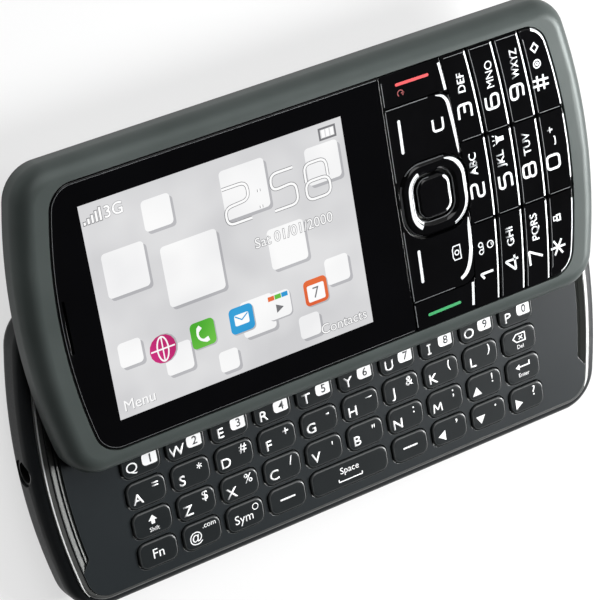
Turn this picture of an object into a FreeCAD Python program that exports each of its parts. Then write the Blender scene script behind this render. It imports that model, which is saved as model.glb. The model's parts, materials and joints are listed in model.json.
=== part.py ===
import FreeCAD, Part
import math
import os
from collections import namedtuple

# Side-sliding phone, shown open. Millimetres. X runs along the phone, +Y is the way the display half
# slides open, +Z points out of the keys. The origin is the middle of the base's flat back.

Vector = FreeCAD.Vector
Outline = namedtuple("Outline", "half_length half_width end_radius corner")
Key = namedtuple("Key", "x y width")

# ---- base: overall form ----
base_length = 114.6
base_width = 54.6
base_end_radius = 104.0
base_corner = 7.5
base_bottom_round = 3.0
base_top_round = 2.1
trim_end_inset = 2.05
trim_side_inset = 1.75
trim_end_width = 1.15
trim_side_width = 0.7
trim_edge_slope = 0.4
trim_drop = 0.15
rim_drop = 0.7
fit_gap = 0.08

# ---- base: stack from the back upwards ----
cover_thickness = 1.1
cover_gap = 0.1
floor_thickness = 0.9
base_bay_height = 3.4
board_thickness = 0.8
dome_sheet_thickness = 0.15
mat_thickness = 0.25
mat_pad_height = 0.15
key_height = 1.45
key_proud = 0.4
key_travel = 0.25
key_rest_gap = 0.05
deck_thickness = 1.1
deck_skirt_height = 0.5
deck_skirt_width = 1.0
ledge_width = 1.9
ledge_thickness = 0.7

# ---- keyboard ----
keyboard_end_margin = 12.065
keyboard_front_margin = 1.935
key_gap_x = 1.23
key_pitch_y = 5.61
key_columns = 10
key_rows = 4
key_depth = 4.7
key_corner_cut = 0.95
key_edge_bevel = 0.3
key_window_gap = 0.22
groove_end_inset = 0.1
groove_width = 1.75
groove_depth = 0.45
groove_front_margin = 3.6
groove_rear_margin = 2.2

# ---- slider: overall form ----
slider_travel = 25.6
slider_end_inset = 1.8
slider_side_inset = 0.9
slider_end_radius = 96.0
slider_corner = 6.5
slider_height = 6.1
slider_clearance = 0.3
slider_top_round = 3.2
slider_bottom_bevel = 0.6
slider_wall = 1.6
tray_thickness = 1.7
tray_edge_height = 1.0
face_rim_thickness = 2.0
bezel_end_width = 5.45
bezel_side_width = 3.55
face_end_radius = 90.0
face_corner = 4.6

# ---- display ----
window_thickness = 1.2
window_bevel = 0.25
window_ledge = 0.8
panel_left_inset = 4.95
panel_right_inset = 6.25
panel_side_inset = 2.35
panel_thickness = 2.5
frame_sheet = 0.3
frame_lip_height = 1.6
frame_side_gap = 0.15
frame_floor_margin = 4.0
earpiece_slot_inset = 1.25
earpiece_slot_length = 9.0
earpiece_slot_width = 0.5
earpiece_length = 10.0
earpiece_width = 4.4
earpiece_height = 2.2
earpiece_corner_cut = 1.0
earpiece_gap = 0.1

# ---- number pad and function keys ----
pad_y = -0.4
pad_key_proud = 0.1
pad_key_height = 1.9
pad_gap = 0.2
pad_edge_gap = 0.12
pad_last_edge_inset = 0.45
pad_row_count = 4
pad_row_pitch = 5.45
pad_row_bow_radius = 150.0
pad_column_half = 7.45
pad_edge_bevel = 0.4
pad_left_gap = 0.2
function_width = 14.05
call_key_width = 5.55
function_corner = 3.4
nav_window_gap = 0.9
nav_length = 13.5
nav_width = 13.1
nav_corner = 4.7
nav_hole_length = 7.8
nav_hole_width = 8.3
nav_hole_corner = 2.6
nav_bevel_outer = 0.6
nav_bevel_inner = 0.7
nav_gap = 0.35
nav_proud = 0.15
nav_seat_thickness = 0.25
nav_seat_margin = 0.7
nav_seat_corner_cut = 2.4
nav_seat_lift = 0.28
nav_ridge_width = 0.4
nav_ridge_length = 1.2
nav_ridge_height = 0.2
nav_ridge_gap = 0.03
ok_gap = 0.5
ok_bevel = 0.45
pad_mat_thickness = 0.3
pad_mat_pad_height = 0.3
pad_mat_pad_size = 2.6
pad_mat_inset = 1.0
pad_board_thickness = 0.8
pad_board_overlap = 4.25
pad_board_margin = 0.6
pad_post_radius = 1.2
pad_post_inset = 6.0

# ---- slide mechanism ----
rail_end_inset = 12.1
rail_web = 0.5
rail_flange_width = 1.35
rail_flange_thickness = 0.4
rail_flange_lift = 0.1
rail_side_play = 0.15
rail_top_play = 0.15
rail_flange_play = 0.3
rail_keyboard_gap = 4.385
rail_rear_margin = 2.85
rail_plate_thickness = 0.5
rail_plate_margin = 1.0
rail_plate_overhang = 2.5
rail_plate_gap = 0.1
rail_plate_corner_cut = 1.0
rail_window_count = 3
rail_window_pitch = 16.0
rail_window_pin_gap = 13.0
rail_window_length = 13.0
rail_window_margin = 3.5
slide_plate_thickness = 0.5
slide_plate_overhang = 3.5
slide_plate_end_margin = 0.9
slide_plate_gap = 0.08
slot_end_play = 0.3
spring_wire = 0.5
spring_coil_radius = 2.4
spring_coil_x = 4.0
spring_coil_offset = 1.5
spring_pin_radius = 0.9
spring_pin_play = 0.1
base_pin_x = 16.0
slider_pin_x = -10.0
spring_recess_margin = 3.2
spring_recess_ceiling = 0.7
flex_rail_gap = 11.0
flex_width = 7.0
flex_thickness = 0.12
flex_recess_gap = 0.6
flex_rail_inset = 0.5
flex_front_margin = 0.5
flex_slider_y = 2.0
flex_lift = 0.15
flex_slit_width = 1.6
flex_slit_gap = 1.0

# ---- inner pieces of the base ----
battery_left_inset = 35.3
battery_right_inset = 25.3
battery_side_inset = 9.3
battery_thickness = 4.0
battery_corner_cut = 1.0
battery_lift = 0.15
well_gap = 0.3
well_wall = 0.8
board_margin = 0.5
board_edge_gap = 0.3
cover_split_inset = 23.3
cover_hook_side_inset = 5.8
cover_hook_end_inset = 23.3
cover_hook_pitch = 34.0
cover_hook_stem = 0.8
cover_hook_length = 3.0
cover_hook_foot = 0.9
cover_hook_thickness = 0.5
cover_hook_play = 0.12
cover_travel = 6.0
cover_grip_count = 4
cover_grip_pitch = 1.6
cover_grip_width = 0.7
cover_grip_length = 12.0
cover_grip_depth = 0.3
chip_end_inset = 28.3
chip_spread = 8.5
chip_length = 7.0
chip_width = 10.0
chip_height = 1.1
camera_end_inset = 15.3
camera_y = 11.0
camera_size = 8.0
camera_height = 3.0
camera_lens_radius = 2.3
camera_window_radius = 3.4
camera_window_thickness = 0.7
camera_window_recess = 0.15
speaker_end_inset = 16.8
speaker_y = -10.6
speaker_length = 12.0
speaker_corner_cut = 2.0
speaker_width = 11.0
speaker_height = 2.8
speaker_slot_count = 5
speaker_slot_pitch = 1.6
speaker_slot_width = 0.8
speaker_slot_length = 9.0
jack_bore_radius = 1.8
jack_bore_depth = 14.0
jack_nose_radius = 2.3
jack_nose_play = 0.08
jack_nose_length = 1.5
jack_inset = 0.45
jack_body_width = 5.8
jack_body_height = 4.1
jack_body_wall = 1.0
jack_z = 4.2
usb_end_inset = 19.3
usb_width = 7.5
usb_height = 2.6
usb_wall = 0.3
usb_depth = 5.4
usb_tongue = 0.6
usb_inset = 0.5
usb_play = 0.1
card_end_inset = 13.3
card_length = 15.5
card_width = 13.0
card_height = 1.6
card_wall = 0.35
card_play = 0.2
motor_end_inset = 14.3
motor_side_inset = 11.3
motor_radius = 4.0
motor_height = 2.7
antenna_thickness = 1.6
antenna_half_width = 15.0
antenna_height = 2.8
antenna_gap = 0.2
volume_end_inset = 27.3
volume_length = 13.0
side_key_height = 2.4
side_key_proud = 0.5
side_key_bevel = 0.4
side_key_play = 0.15
side_key_travel = 0.3
side_key_z = 4.2
side_key_flange = 0.7
side_key_flange_thickness = 0.6
camera_key_end_inset = 20.3
camera_key_length = 9.0
screw_end_inset = 5.9
screw_side_inset = 5.65
screw_head_radius = 1.5
screw_head_height = 0.7
screw_radius = 0.8
screw_length = 5.0
screw_play = 0.05
screw_head_play = 0.15
screw_head_z = 1.3
boss_wall = 1.0
post_flats = 12
slider_screw_end_inset = 0.99
slider_screw_side_inset = 4.5
slider_screw_head_radius = 1.2
slider_screw_head_height = 0.5
slider_screw_radius = 0.7
slider_screw_length = 3.4
slider_boss_wall = 0.9
slider_screw_recess = 0.1
slider_screw_end_play = 0.2

# ---- heights worked out from the stacks ----
floor_low = cover_thickness + cover_gap
floor_top = floor_low + floor_thickness
board_low = floor_top + base_bay_height
board_top = board_low + board_thickness
dome_top = board_top + dome_sheet_thickness
mat_top = dome_top + mat_thickness
mat_pad_top = mat_top + mat_pad_height
key_low = mat_pad_top + key_travel + key_rest_gap
key_top = key_low + key_height
deck_top = key_top - key_proud
deck_low = deck_top - deck_thickness
ledge_top = deck_low - deck_skirt_height
rim_top = deck_top - rim_drop

slider_low = key_top + slider_clearance
slider_top = slider_low + slider_height
tray_top = slider_low + tray_thickness
tray_edge_top = slider_low + tray_edge_height
face_rim_low = slider_top - face_rim_thickness
window_low = slider_top - window_thickness
slider_y = slider_travel
slider_screw_low = slider_low + slider_screw_recess
slider_screw_top = slider_screw_low + slider_screw_length
pad_key_top = slider_top + pad_key_proud
pad_key_low = pad_key_top - pad_key_height
pad_mat_pad_top = pad_key_low - key_travel - key_rest_gap
pad_mat_top = pad_mat_pad_top - pad_mat_pad_height
pad_mat_low = pad_mat_top - pad_mat_thickness
pad_board_low = pad_mat_low - pad_board_thickness
nav_seat_low = pad_mat_top + nav_seat_lift
nav_seat_top = nav_seat_low + nav_seat_thickness
nav_ring_low = nav_seat_top + nav_ridge_height + nav_ridge_gap
nav_ring_top = pad_key_top + nav_proud
pad_centre_y = slider_y + pad_y
slide_plate_top = slider_low + slide_plate_thickness
rail_flange_low = slide_plate_top + rail_flange_lift
rail_flange_top = rail_flange_low + rail_flange_thickness
rail_groove_top = rail_flange_top + rail_top_play
spring_recess_top = tray_top - spring_recess_ceiling
base_pin_y = slider_travel / 2


def inset(outline, at_ends, at_sides=None):
    at_sides = at_ends if at_sides is None else at_sides
    return Outline(
        outline.half_length - at_ends,
        outline.half_width - at_sides,
        outline.end_radius - at_ends,
        outline.corner - max(at_ends, at_sides),
    )


# ---- outlines seen from above ----
slider_length = base_length - 2 * slider_end_inset
slider_width = base_width - 2 * slider_side_inset
face_length = slider_length - 2 * bezel_end_width
face_width = slider_width - 2 * bezel_side_width
base_outline = Outline(base_length / 2, base_width / 2, base_end_radius, base_corner)
slider_outline = Outline(slider_length / 2, slider_width / 2, slider_end_radius, slider_corner)
face_outline = Outline(face_length / 2, face_width / 2, face_end_radius, face_corner)
trim_outline = inset(base_outline, trim_end_inset, trim_side_inset)
deck_outline = inset(trim_outline, trim_end_width, trim_side_width)
cavity_outline = inset(trim_outline, -fit_gap)
slider_cavity_outline = inset(slider_outline, slider_wall)
face_opening = inset(face_outline, -fit_gap)
pad_outline = inset(face_outline, pad_edge_gap)

# ---- places worked out from the outlines ----
keyboard_length = 2 * (deck_outline.half_length - keyboard_end_margin)
key_pitch_x = (keyboard_length + key_gap_x) / key_columns
key_width = key_pitch_x - key_gap_x
keyboard_width = (key_rows - 1) * key_pitch_y + key_depth
keyboard_y = -deck_outline.half_width + keyboard_front_margin + keyboard_width / 2
screw_x = deck_outline.half_length - screw_end_inset
screw_y = deck_outline.half_width - screw_side_inset

rail_x = deck_outline.half_length - rail_end_inset
rail_front_y = keyboard_y + keyboard_width / 2 + rail_keyboard_gap
rail_rear_y = deck_outline.half_width - rail_rear_margin
rail_window_places = [
    base_pin_x - rail_window_pin_gap - index * rail_window_pitch for index in range(rail_window_count)
]
slide_plate_half_width = slider_cavity_outline.half_width - slide_plate_end_margin
flex_x = rail_x - flex_rail_gap
flex_base_y = rail_rear_y - flex_rail_inset
flex_loop_y = slider_y - slide_plate_half_width + flex_front_margin + flex_recess_gap

pad_last_edge = face_outline.half_length - pad_last_edge_inset
pad_first_edge = pad_last_edge - pad_row_count * pad_row_pitch
window_right = pad_first_edge - function_width
nav_x = window_right + nav_window_gap + nav_length / 2
function_divider = face_outline.half_width - call_key_width
pad_board_left = window_right - pad_board_overlap
panel_left = -face_outline.half_length + panel_left_inset
panel_length = window_right - panel_right_inset - panel_left
panel_width = face_width - 2 * panel_side_inset
display_x = panel_left + panel_length / 2
earpiece_slot_x = -face_outline.half_length + earpiece_slot_inset

battery_length = base_length - battery_left_inset - battery_right_inset
battery_width = base_width - 2 * battery_side_inset
battery_x = (battery_left_inset - battery_right_inset) / 2
cover_split_x = -base_length / 2 + cover_split_inset
cover_hook_spread = base_width / 2 - cover_hook_side_inset
cover_hook_last_x = base_length / 2 - cover_hook_end_inset
chip_x = -base_length / 2 + chip_end_inset
camera_x = -base_length / 2 + camera_end_inset
speaker_x = -base_length / 2 + speaker_end_inset
usb_x = -base_length / 2 + usb_end_inset
volume_x = -base_length / 2 + volume_end_inset
camera_key_x = base_length / 2 - camera_key_end_inset
card_x = base_length / 2 - card_end_inset
motor_x = base_length / 2 - motor_end_inset
motor_y = -base_width / 2 + motor_side_inset


# ---- shape helpers ----
def level_edges(shape, z):
    found = []
    for edge in shape.Edges:
        box = edge.BoundBox
        if abs(box.ZMin - z) < 1e-4 and abs(box.ZMax - z) < 1e-4:
            found.append(edge)
    return found


def upright_edges(shape):
    found = []
    for edge in shape.Edges:
        box = edge.BoundBox
        if box.ZLength > 1e-4 and box.XLength < 1e-4 and box.YLength < 1e-4:
            found.append(edge)
    return found


def bowed_plate(outline, z_low, z_high, y_centre=0.0):
    # Straight long sides, shallow arcs at the ends and round corners that run into both.
    bow_x = outline.half_length - outline.end_radius
    corner_y = outline.half_width - outline.corner
    corner_x = bow_x + math.sqrt((outline.end_radius - outline.corner) ** 2 - corner_y**2)
    turn = math.atan2(corner_y, corner_x - bow_x)
    middle = (turn + math.pi / 2) / 2
    touch = (bow_x + outline.end_radius * math.cos(turn), outline.end_radius * math.sin(turn))
    bend = (corner_x + outline.corner * math.cos(middle), corner_y + outline.corner * math.sin(middle))
    side = (corner_x, outline.half_width)

    def at(point, sign_x, sign_y):
        return Vector(sign_x * point[0], y_centre + sign_y * point[1], z_low)

    edges = []
    for sign in (1, -1):
        tip = Vector(sign * outline.half_length, y_centre, z_low)
        end = Part.Arc(at(touch, sign, -sign), tip, at(touch, sign, sign))
        near_corner = Part.Arc(at(touch, sign, sign), at(bend, sign, sign), at(side, sign, sign))
        long_side = Part.LineSegment(at(side, sign, sign), at(side, -sign, sign))
        far_corner = Part.Arc(at(side, -sign, sign), at(bend, -sign, sign), at(touch, -sign, sign))
        edges.extend([end.toShape(), near_corner.toShape(), long_side.toShape(), far_corner.toShape()])
    return Part.Face(Part.Wire(edges)).extrude(Vector(0, 0, z_high - z_low))


def bowed_ring(outer, inner, z_low, z_high, y_centre=0.0):
    return bowed_plate(outer, z_low, z_high, y_centre).cut(bowed_plate(inner, z_low, z_high, y_centre))


def block(x_low, x_high, y_low, y_high, z_low, z_high):
    return Part.makeBox(x_high - x_low, y_high - y_low, z_high - z_low, Vector(x_low, y_low, z_low))


def centred_block(x, y, length, width, z_low, z_high):
    return block(x - length / 2, x + length / 2, y - width / 2, y + width / 2, z_low, z_high)


def rounded_block(x, y, length, width, corner, z_low, z_high):
    blank = centred_block(x, y, length, width, z_low, z_high)
    return blank.makeFillet(corner, upright_edges(blank))


def cut_corner_block(x, y, length, width, cut, z_low, z_high):
    blank = centred_block(x, y, length, width, z_low, z_high)
    return blank.makeChamfer(cut, upright_edges(blank))


def post(x, y, radius, z_low, z_high):
    return Part.makeCylinder(radius, z_high - z_low, Vector(x, y, z_low))


def faceted_post(x, y, radius, z_low, z_high):
    # Small repeated screws, bosses and their holes: twelve flats in place of a round wall.
    points = []
    for step in range(post_flats + 1):
        angle = 2 * math.pi * step / post_flats
        points.append(Vector(x + radius * math.cos(angle), y + radius * math.sin(angle), z_low))
    return Part.Face(Part.makePolygon(points)).extrude(Vector(0, 0, z_high - z_low))


def bar_between(start, end, width, z_low, z_high):
    run_x = end[0] - start[0]
    run_y = end[1] - start[1]
    length = math.hypot(run_x, run_y)
    bar = centred_block(length / 2, 0, length, width, z_low, z_high)
    bar.rotate(Vector(0, 0, 0), Vector(0, 0, 1), math.degrees(math.atan2(run_y, run_x)))
    bar.translate(Vector(start[0], start[1], 0))
    return bar


def wire_eye(centre, inner_radius, z_low, z_high):
    eye = post(centre[0], centre[1], inner_radius + spring_wire, z_low, z_high)
    return eye.cut(post(centre[0], centre[1], inner_radius, z_low, z_high))


def fuse_all(shapes):
    return shapes[0].multiFuse(shapes[1:]).removeSplitter()


# ---- keyboard layout ----
def key_centre(column, row):
    x = (column - (key_columns - 1) / 2) * key_pitch_x
    y = keyboard_y - (row - (key_rows - 1) / 2) * key_pitch_y
    return x, y


def small_key(column, row):
    x, y = key_centre(column, row)
    return Key(x, y, key_width)


def wide_key(column, row):
    # Takes the place of two neighbours and the gap between them.
    x, y = key_centre(column, row)
    return Key(x + key_pitch_x / 2, y, key_width + key_pitch_x)


last_column = key_columns - 1
space_column = 4
bottom_row_columns = [*range(1, space_column), *range(space_column + 2, key_columns)]
keyboard_groups = {
    "keyboard_row_1": [small_key(column, 0) for column in range(key_columns)],
    "keyboard_row_2": [small_key(column, 1) for column in range(last_column)],
    "delete_key": [small_key(last_column, 1)],
    "shift_key": [small_key(0, 2)],
    "keyboard_row_3": [small_key(column, 2) for column in range(1, last_column)],
    "enter_key": [small_key(last_column, 2)],
    "function_key": [small_key(0, 3)],
    "keyboard_row_4": [small_key(column, 3) for column in bottom_row_columns],
    "space_key": [wide_key(space_column, 3)],
}
all_keys = [key for group in keyboard_groups.values() for key in group]


def key_cap(key):
    cap = cut_corner_block(key.x, key.y, key.width, key_depth, key_corner_cut, key_low, key_top)
    return cap.makeChamfer(key_edge_bevel, level_edges(cap, key_top))


def key_window(key):
    length = key.width + 2 * key_window_gap
    width = key_depth + 2 * key_window_gap
    return cut_corner_block(key.x, key.y, length, width, key_corner_cut, deck_low, deck_top)


# ---- base pieces ----
def base_body():
    body = bowed_plate(base_outline, 0, rim_top)
    body = body.makeFillet(base_top_round, level_edges(body, rim_top))
    return body.makeFillet(base_bottom_round, level_edges(body, 0))


def screw_places():
    return [(x, y) for x in (-screw_x, screw_x) for y in (-screw_y, screw_y)]


def hook_places():
    places = []
    for side in (-1, 1):
        for step in range(2):
            places.append((cover_hook_last_x - step * cover_hook_pitch, side * cover_hook_spread))
    return places


def cover_region(gap=0.0):
    top = cover_thickness + cover_gap - gap
    return block(cover_split_x + gap, base_length, -base_width, base_width, -cover_thickness, top)


def jack_cylinder(radius, x_low, x_high):
    return Part.makeCylinder(radius, x_high - x_low, Vector(x_low, 0, jack_z), Vector(1, 0, 0))


jack_mouth_x = -base_length / 2 + jack_inset
jack_body_x = jack_mouth_x + jack_nose_length
jack_body_end_x = jack_mouth_x + jack_bore_depth + jack_body_wall
usb_mouth_y = base_width / 2 - usb_inset
boss_radius = screw_radius + screw_play + boss_wall
boss_joint_z = board_low - board_edge_gap


def base_housing():
    body = base_body()
    body = body.cut(cover_region())
    # The bay below the board, the ledge that carries the deck, and the rebate for the trim ring.
    ledge_low = ledge_top - ledge_thickness
    cuts = [
        bowed_plate(cavity_outline, floor_top, ledge_low),
        bowed_plate(inset(cavity_outline, ledge_width), ledge_low, ledge_top),
        bowed_plate(cavity_outline, ledge_top, rim_top),
    ]
    body = body.cut(cuts)
    well_length = battery_length + 2 * (well_gap + well_wall)
    well_width = battery_width + 2 * (well_gap + well_wall)
    inner_length = battery_length + 2 * well_gap
    inner_width = battery_width + 2 * well_gap
    cut = battery_corner_cut
    additions = [cut_corner_block(battery_x, 0, well_length, well_width, cut, floor_low, board_low)]
    for x, y in screw_places():
        additions.append(faceted_post(x, y, boss_radius, floor_low, boss_joint_z))
    body = fuse_all([body] + additions)
    cuts = [cut_corner_block(battery_x, 0, inner_length, inner_width, cut, 0, board_top)]
    head_top = screw_head_z + screw_head_height
    for x, y in screw_places():
        cuts.append(faceted_post(x, y, screw_head_radius + screw_head_play, 0, head_top))
        cuts.append(faceted_post(x, y, screw_radius + screw_play, 0, board_low))
    window_top = camera_window_recess + camera_window_thickness
    cuts.append(post(camera_x, camera_y, camera_window_radius + fit_gap, 0, window_top))
    cuts.append(post(camera_x, camera_y, camera_lens_radius + fit_gap, 0, floor_top))
    for index in range(speaker_slot_count):
        x = speaker_x + (index - (speaker_slot_count - 1) / 2) * speaker_slot_pitch
        cuts.append(centred_block(x, speaker_y, speaker_slot_width, speaker_slot_length, 0, floor_top))
    # Headphone socket: a round nose hole through the end wall and a notch in the ledge.
    cuts.append(jack_cylinder(jack_nose_radius + jack_nose_play, -base_length, jack_body_x))
    jack_half = jack_body_width / 2 + side_key_play
    cuts.append(block(jack_body_x - side_key_play, -screw_x, -jack_half, jack_half, floor_top, ledge_top))
    # Openings for the charging socket and the keys on the long sides.
    usb_low = side_key_z - usb_height / 2 - usb_play
    usb_high = side_key_z + usb_height / 2 + usb_play
    usb_opening = usb_width + 2 * usb_play
    cuts.append(centred_block(usb_x, base_width / 2, usb_opening, base_width / 4, usb_low, usb_high))
    cuts.append(side_key_opening(volume_x, volume_length, -1))
    cuts.append(side_key_opening(camera_key_x, camera_key_length, 1))
    card_bay_length = card_length + 2 * card_play
    card_bay_width = card_width + 2 * card_play
    cuts.append(centred_block(card_x, 0, card_bay_length, card_bay_width, 0, floor_top))
    for x, y in hook_places():
        cuts.append(hook_slot(x, y))
    return body.cut(cuts)


def side_key_opening(x, length, side):
    half_z = side_key_height / 2 + side_key_play
    low = side_key_z - half_z
    high = side_key_z + half_z
    return centred_block(x, side * base_width / 2, length + 2 * side_key_play, base_width / 4, low, high)


def hook_slot(x, y):
    # Long enough for the hook to slide, with a wide end where its foot drops out.
    side = 1 if y > 0 else -1
    narrow = cover_hook_stem + 2 * cover_hook_play
    wide = cover_hook_stem + cover_hook_foot + 2 * cover_hook_play
    x_low = x - cover_hook_length / 2 - cover_hook_play
    x_high = x + cover_hook_length / 2 + cover_travel + cover_hook_play
    x_wide = x_high - cover_hook_length - cover_hook_play
    slot = block(x_low, x_high, y - narrow / 2, y + narrow / 2, 0, floor_top)
    wide_y = y - side * (wide - narrow) / 2
    drop = block(x_wide, x_high, wide_y - wide / 2, wide_y + wide / 2, 0, floor_top)
    return slot.fuse(drop)


def cover_hook(x, y):
    side = 1 if y > 0 else -1
    foot_low = floor_top + cover_hook_play
    foot_high = foot_low + cover_hook_thickness
    stem = centred_block(x, y, cover_hook_length, cover_hook_stem, cover_thickness, foot_high)
    foot_width = cover_hook_stem + cover_hook_foot
    foot_y = y - side * cover_hook_foot / 2
    foot = centred_block(x, foot_y, cover_hook_length, foot_width, foot_low, foot_high)
    return stem.fuse(foot)


def battery_cover():
    cover = base_body().common(cover_region(cover_gap))
    grips = []
    for index in range(cover_grip_count):
        x = base_length / 2 - base_bottom_round - 2 * cover_grip_pitch - index * cover_grip_pitch
        grips.append(centred_block(x, 0, cover_grip_width, cover_grip_length, 0, cover_grip_depth))
    cover = cover.cut(grips)
    return fuse_all([cover] + [cover_hook(x, y) for x, y in hook_places()])


def keyboard_deck():
    plate = bowed_plate(inset(deck_outline, fit_gap), deck_low, deck_top)
    skirt = bowed_ring(
        inset(deck_outline, fit_gap), inset(deck_outline, fit_gap + deck_skirt_width), ledge_top, deck_low
    )
    bosses = [faceted_post(x, y, boss_radius, boss_joint_z, deck_low) for x, y in screw_places()]
    deck = fuse_all([plate, skirt] + bosses)
    cuts = [key_window(key) for key in all_keys]
    for x, y in screw_places():
        cuts.append(faceted_post(x, y, screw_radius + screw_play, boss_joint_z, deck_low))
    cuts.extend(end_grooves())
    cuts.append(rail_plate_pocket())
    cuts.append(flex_slit(flex_base_y, deck_low, deck_top))
    jack_half = jack_body_width / 2 + side_key_play
    jack_bay_end = jack_body_end_x + side_key_play
    cuts.append(block(-base_length / 2, jack_bay_end, -jack_half, jack_half, ledge_top, deck_low))
    return deck.cut(cuts)


def end_grooves():
    # Shallow grooves that follow both bowed ends and run out in a slanted tip at the front.
    outer = inset(deck_outline, fit_gap + groove_end_inset)
    inner = inset(outer, groove_width, 0)
    band = bowed_ring(outer, inner, deck_top - groove_depth, deck_top)
    half_width = deck_outline.half_width
    x_tip = deck_outline.half_length
    x_inner = x_tip - deck_outline.corner - groove_width
    grooves = []
    for side in (-1, 1):
        front = -half_width + groove_front_margin
        corners = [
            Vector(side * x_inner, front + groove_width, 0),
            Vector(side * x_tip, front - groove_width / 2, 0),
            Vector(side * x_tip, half_width - groove_rear_margin, 0),
            Vector(side * x_inner, half_width - groove_rear_margin, 0),
        ]
        keep = Part.Face(Part.makePolygon(corners + corners[:1])).extrude(Vector(0, 0, deck_top))
        grooves.append(band.common(keep))
    return grooves


def trim_ring():
    ring = bowed_ring(trim_outline, deck_outline, ledge_top, deck_top - trim_drop)
    outer_edges = []
    for edge in level_edges(ring, deck_top - trim_drop):
        box = edge.BoundBox
        reach_x = max(abs(box.XMin), abs(box.XMax))
        reach_y = max(abs(box.YMin), abs(box.YMax))
        inside_x = reach_x <= deck_outline.half_length + fit_gap
        inside_y = reach_y <= deck_outline.half_width + fit_gap
        if not (inside_x and inside_y):
            outer_edges.append(edge)
    return ring.makeChamfer(trim_edge_slope, outer_edges)


def keyboard_mat():
    web = keyboard_sheet(dome_top, mat_top)
    pads = []
    for key in all_keys:
        pads.append(centred_block(key.x, key.y, key.width / 2, key_depth / 2, mat_top, mat_pad_top))
    return fuse_all([web] + pads)


def dome_sheet():
    return keyboard_sheet(board_top, dome_top)


def keyboard_sheet(z_low, z_high):
    length = key_columns * key_pitch_x
    width = key_rows * key_pitch_y
    return centred_block(0, keyboard_y, length, width, z_low, z_high)


def main_board():
    outline = inset(cavity_outline, ledge_width + board_margin)
    board = bowed_plate(outline, board_low, board_top)
    cuts = []
    for x, y in screw_places():
        cuts.append(faceted_post(x, y, boss_radius + board_edge_gap, board_low, board_top))
    jack_half = jack_body_width / 2 + board_edge_gap
    jack_bay_end = jack_body_end_x + board_edge_gap
    cuts.append(block(-base_length / 2, jack_bay_end, -jack_half, jack_half, board_low, board_top))
    board = board.cut(cuts)
    chips = [
        centred_block(chip_x, chip_spread, chip_length, chip_width, board_low - chip_height, board_low),
        centred_block(chip_x, -chip_spread, chip_length, chip_width, board_low - chip_height, board_low),
    ]
    return fuse_all([board] + chips)


def battery():
    low = cover_thickness + battery_lift
    high = low + battery_thickness
    return cut_corner_block(battery_x, 0, battery_length, battery_width, battery_corner_cut, low, high)


def camera_module():
    body = centred_block(camera_x, camera_y, camera_size, camera_size, floor_top, floor_top + camera_height)
    lens_low = camera_window_recess + camera_window_thickness
    return body.fuse(post(camera_x, camera_y, camera_lens_radius, lens_low, floor_top))


def camera_window():
    high = camera_window_recess + camera_window_thickness
    return post(camera_x, camera_y, camera_window_radius, camera_window_recess, high)


def loudspeaker():
    cut = speaker_corner_cut
    high = floor_top + speaker_height
    return cut_corner_block(speaker_x, speaker_y, speaker_width, speaker_length, cut, floor_top, high)


def headphone_jack():
    nose = jack_cylinder(jack_nose_radius, jack_mouth_x, jack_body_x)
    half_width = jack_body_width / 2
    low = jack_z - jack_body_height / 2
    body = block(jack_body_x, jack_body_end_x, -half_width, half_width, low, low + jack_body_height)
    bore = jack_cylinder(jack_bore_radius, jack_mouth_x, jack_mouth_x + jack_bore_depth)
    return nose.fuse(body).cut(bore)


def usb_socket():
    low = side_key_z - usb_height / 2
    high = side_key_z + usb_height / 2
    inner = usb_mouth_y - usb_depth
    shell = block(usb_x - usb_width / 2, usb_x + usb_width / 2, inner, usb_mouth_y, low, high)
    mouth = block(
        usb_x - usb_width / 2 + usb_wall,
        usb_x + usb_width / 2 - usb_wall,
        inner + 2 * usb_wall,
        usb_mouth_y,
        low + usb_wall,
        high - usb_wall,
    )
    tongue = centred_block(
        usb_x,
        usb_mouth_y - usb_depth / 2 - usb_wall,
        usb_width / 2,
        usb_depth - 2 * usb_wall,
        side_key_z - usb_tongue / 2,
        side_key_z + usb_tongue / 2,
    )
    return shell.cut(mouth).fuse(tongue)


def card_holder():
    low = floor_low + card_play
    high = low + card_height
    frame = centred_block(card_x, 0, card_length, card_width, low, high)
    cavity = centred_block(
        card_x - card_wall, 0, card_length, card_width - 2 * card_wall, low + card_wall, high - card_wall
    )
    return frame.cut(cavity)


def vibration_motor():
    return post(motor_x, motor_y, motor_radius, floor_top, floor_top + motor_height)


def antenna():
    outer = inset(cavity_outline, antenna_gap)
    high = floor_top + antenna_height
    ring = bowed_ring(outer, inset(outer, antenna_thickness), floor_top, high)
    return ring.common(block(0, base_length, -antenna_half_width, antenna_half_width, floor_top, high))


def side_key(x, length, side):
    # A cap that stands out of the wall and a flange that stops it from inside.
    outer_y = base_width / 2 + side_key_proud
    flange_high_y = cavity_outline.half_width - side_key_travel
    low = side_key_z - side_key_height / 2
    high = side_key_z + side_key_height / 2
    reach = length / 2 + side_key_flange
    flange_low_y = flange_high_y - side_key_flange_thickness
    cap = block(x - length / 2, x + length / 2, flange_high_y, outer_y, low, high)
    cap = cap.makeChamfer(side_key_bevel, level_y_edges(cap, outer_y))
    flange = block(x - reach, x + reach, flange_low_y, flange_high_y, low, high)
    key = cap.fuse(flange).removeSplitter()
    if side < 0:
        key = key.mirror(Vector(0, 0, 0), Vector(0, 1, 0))
    return key


def level_y_edges(shape, y):
    return [e for e in shape.Edges if abs(e.BoundBox.YMin - y) < 1e-4 and abs(e.BoundBox.YMax - y) < 1e-4]


def screw(x, y, head_low, head_radius, head_height, radius, length):
    head = faceted_post(x, y, head_radius, head_low, head_low + head_height)
    shank = faceted_post(x, y, radius, head_low + head_height, head_low + head_height + length)
    return head.fuse(shank)


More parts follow.
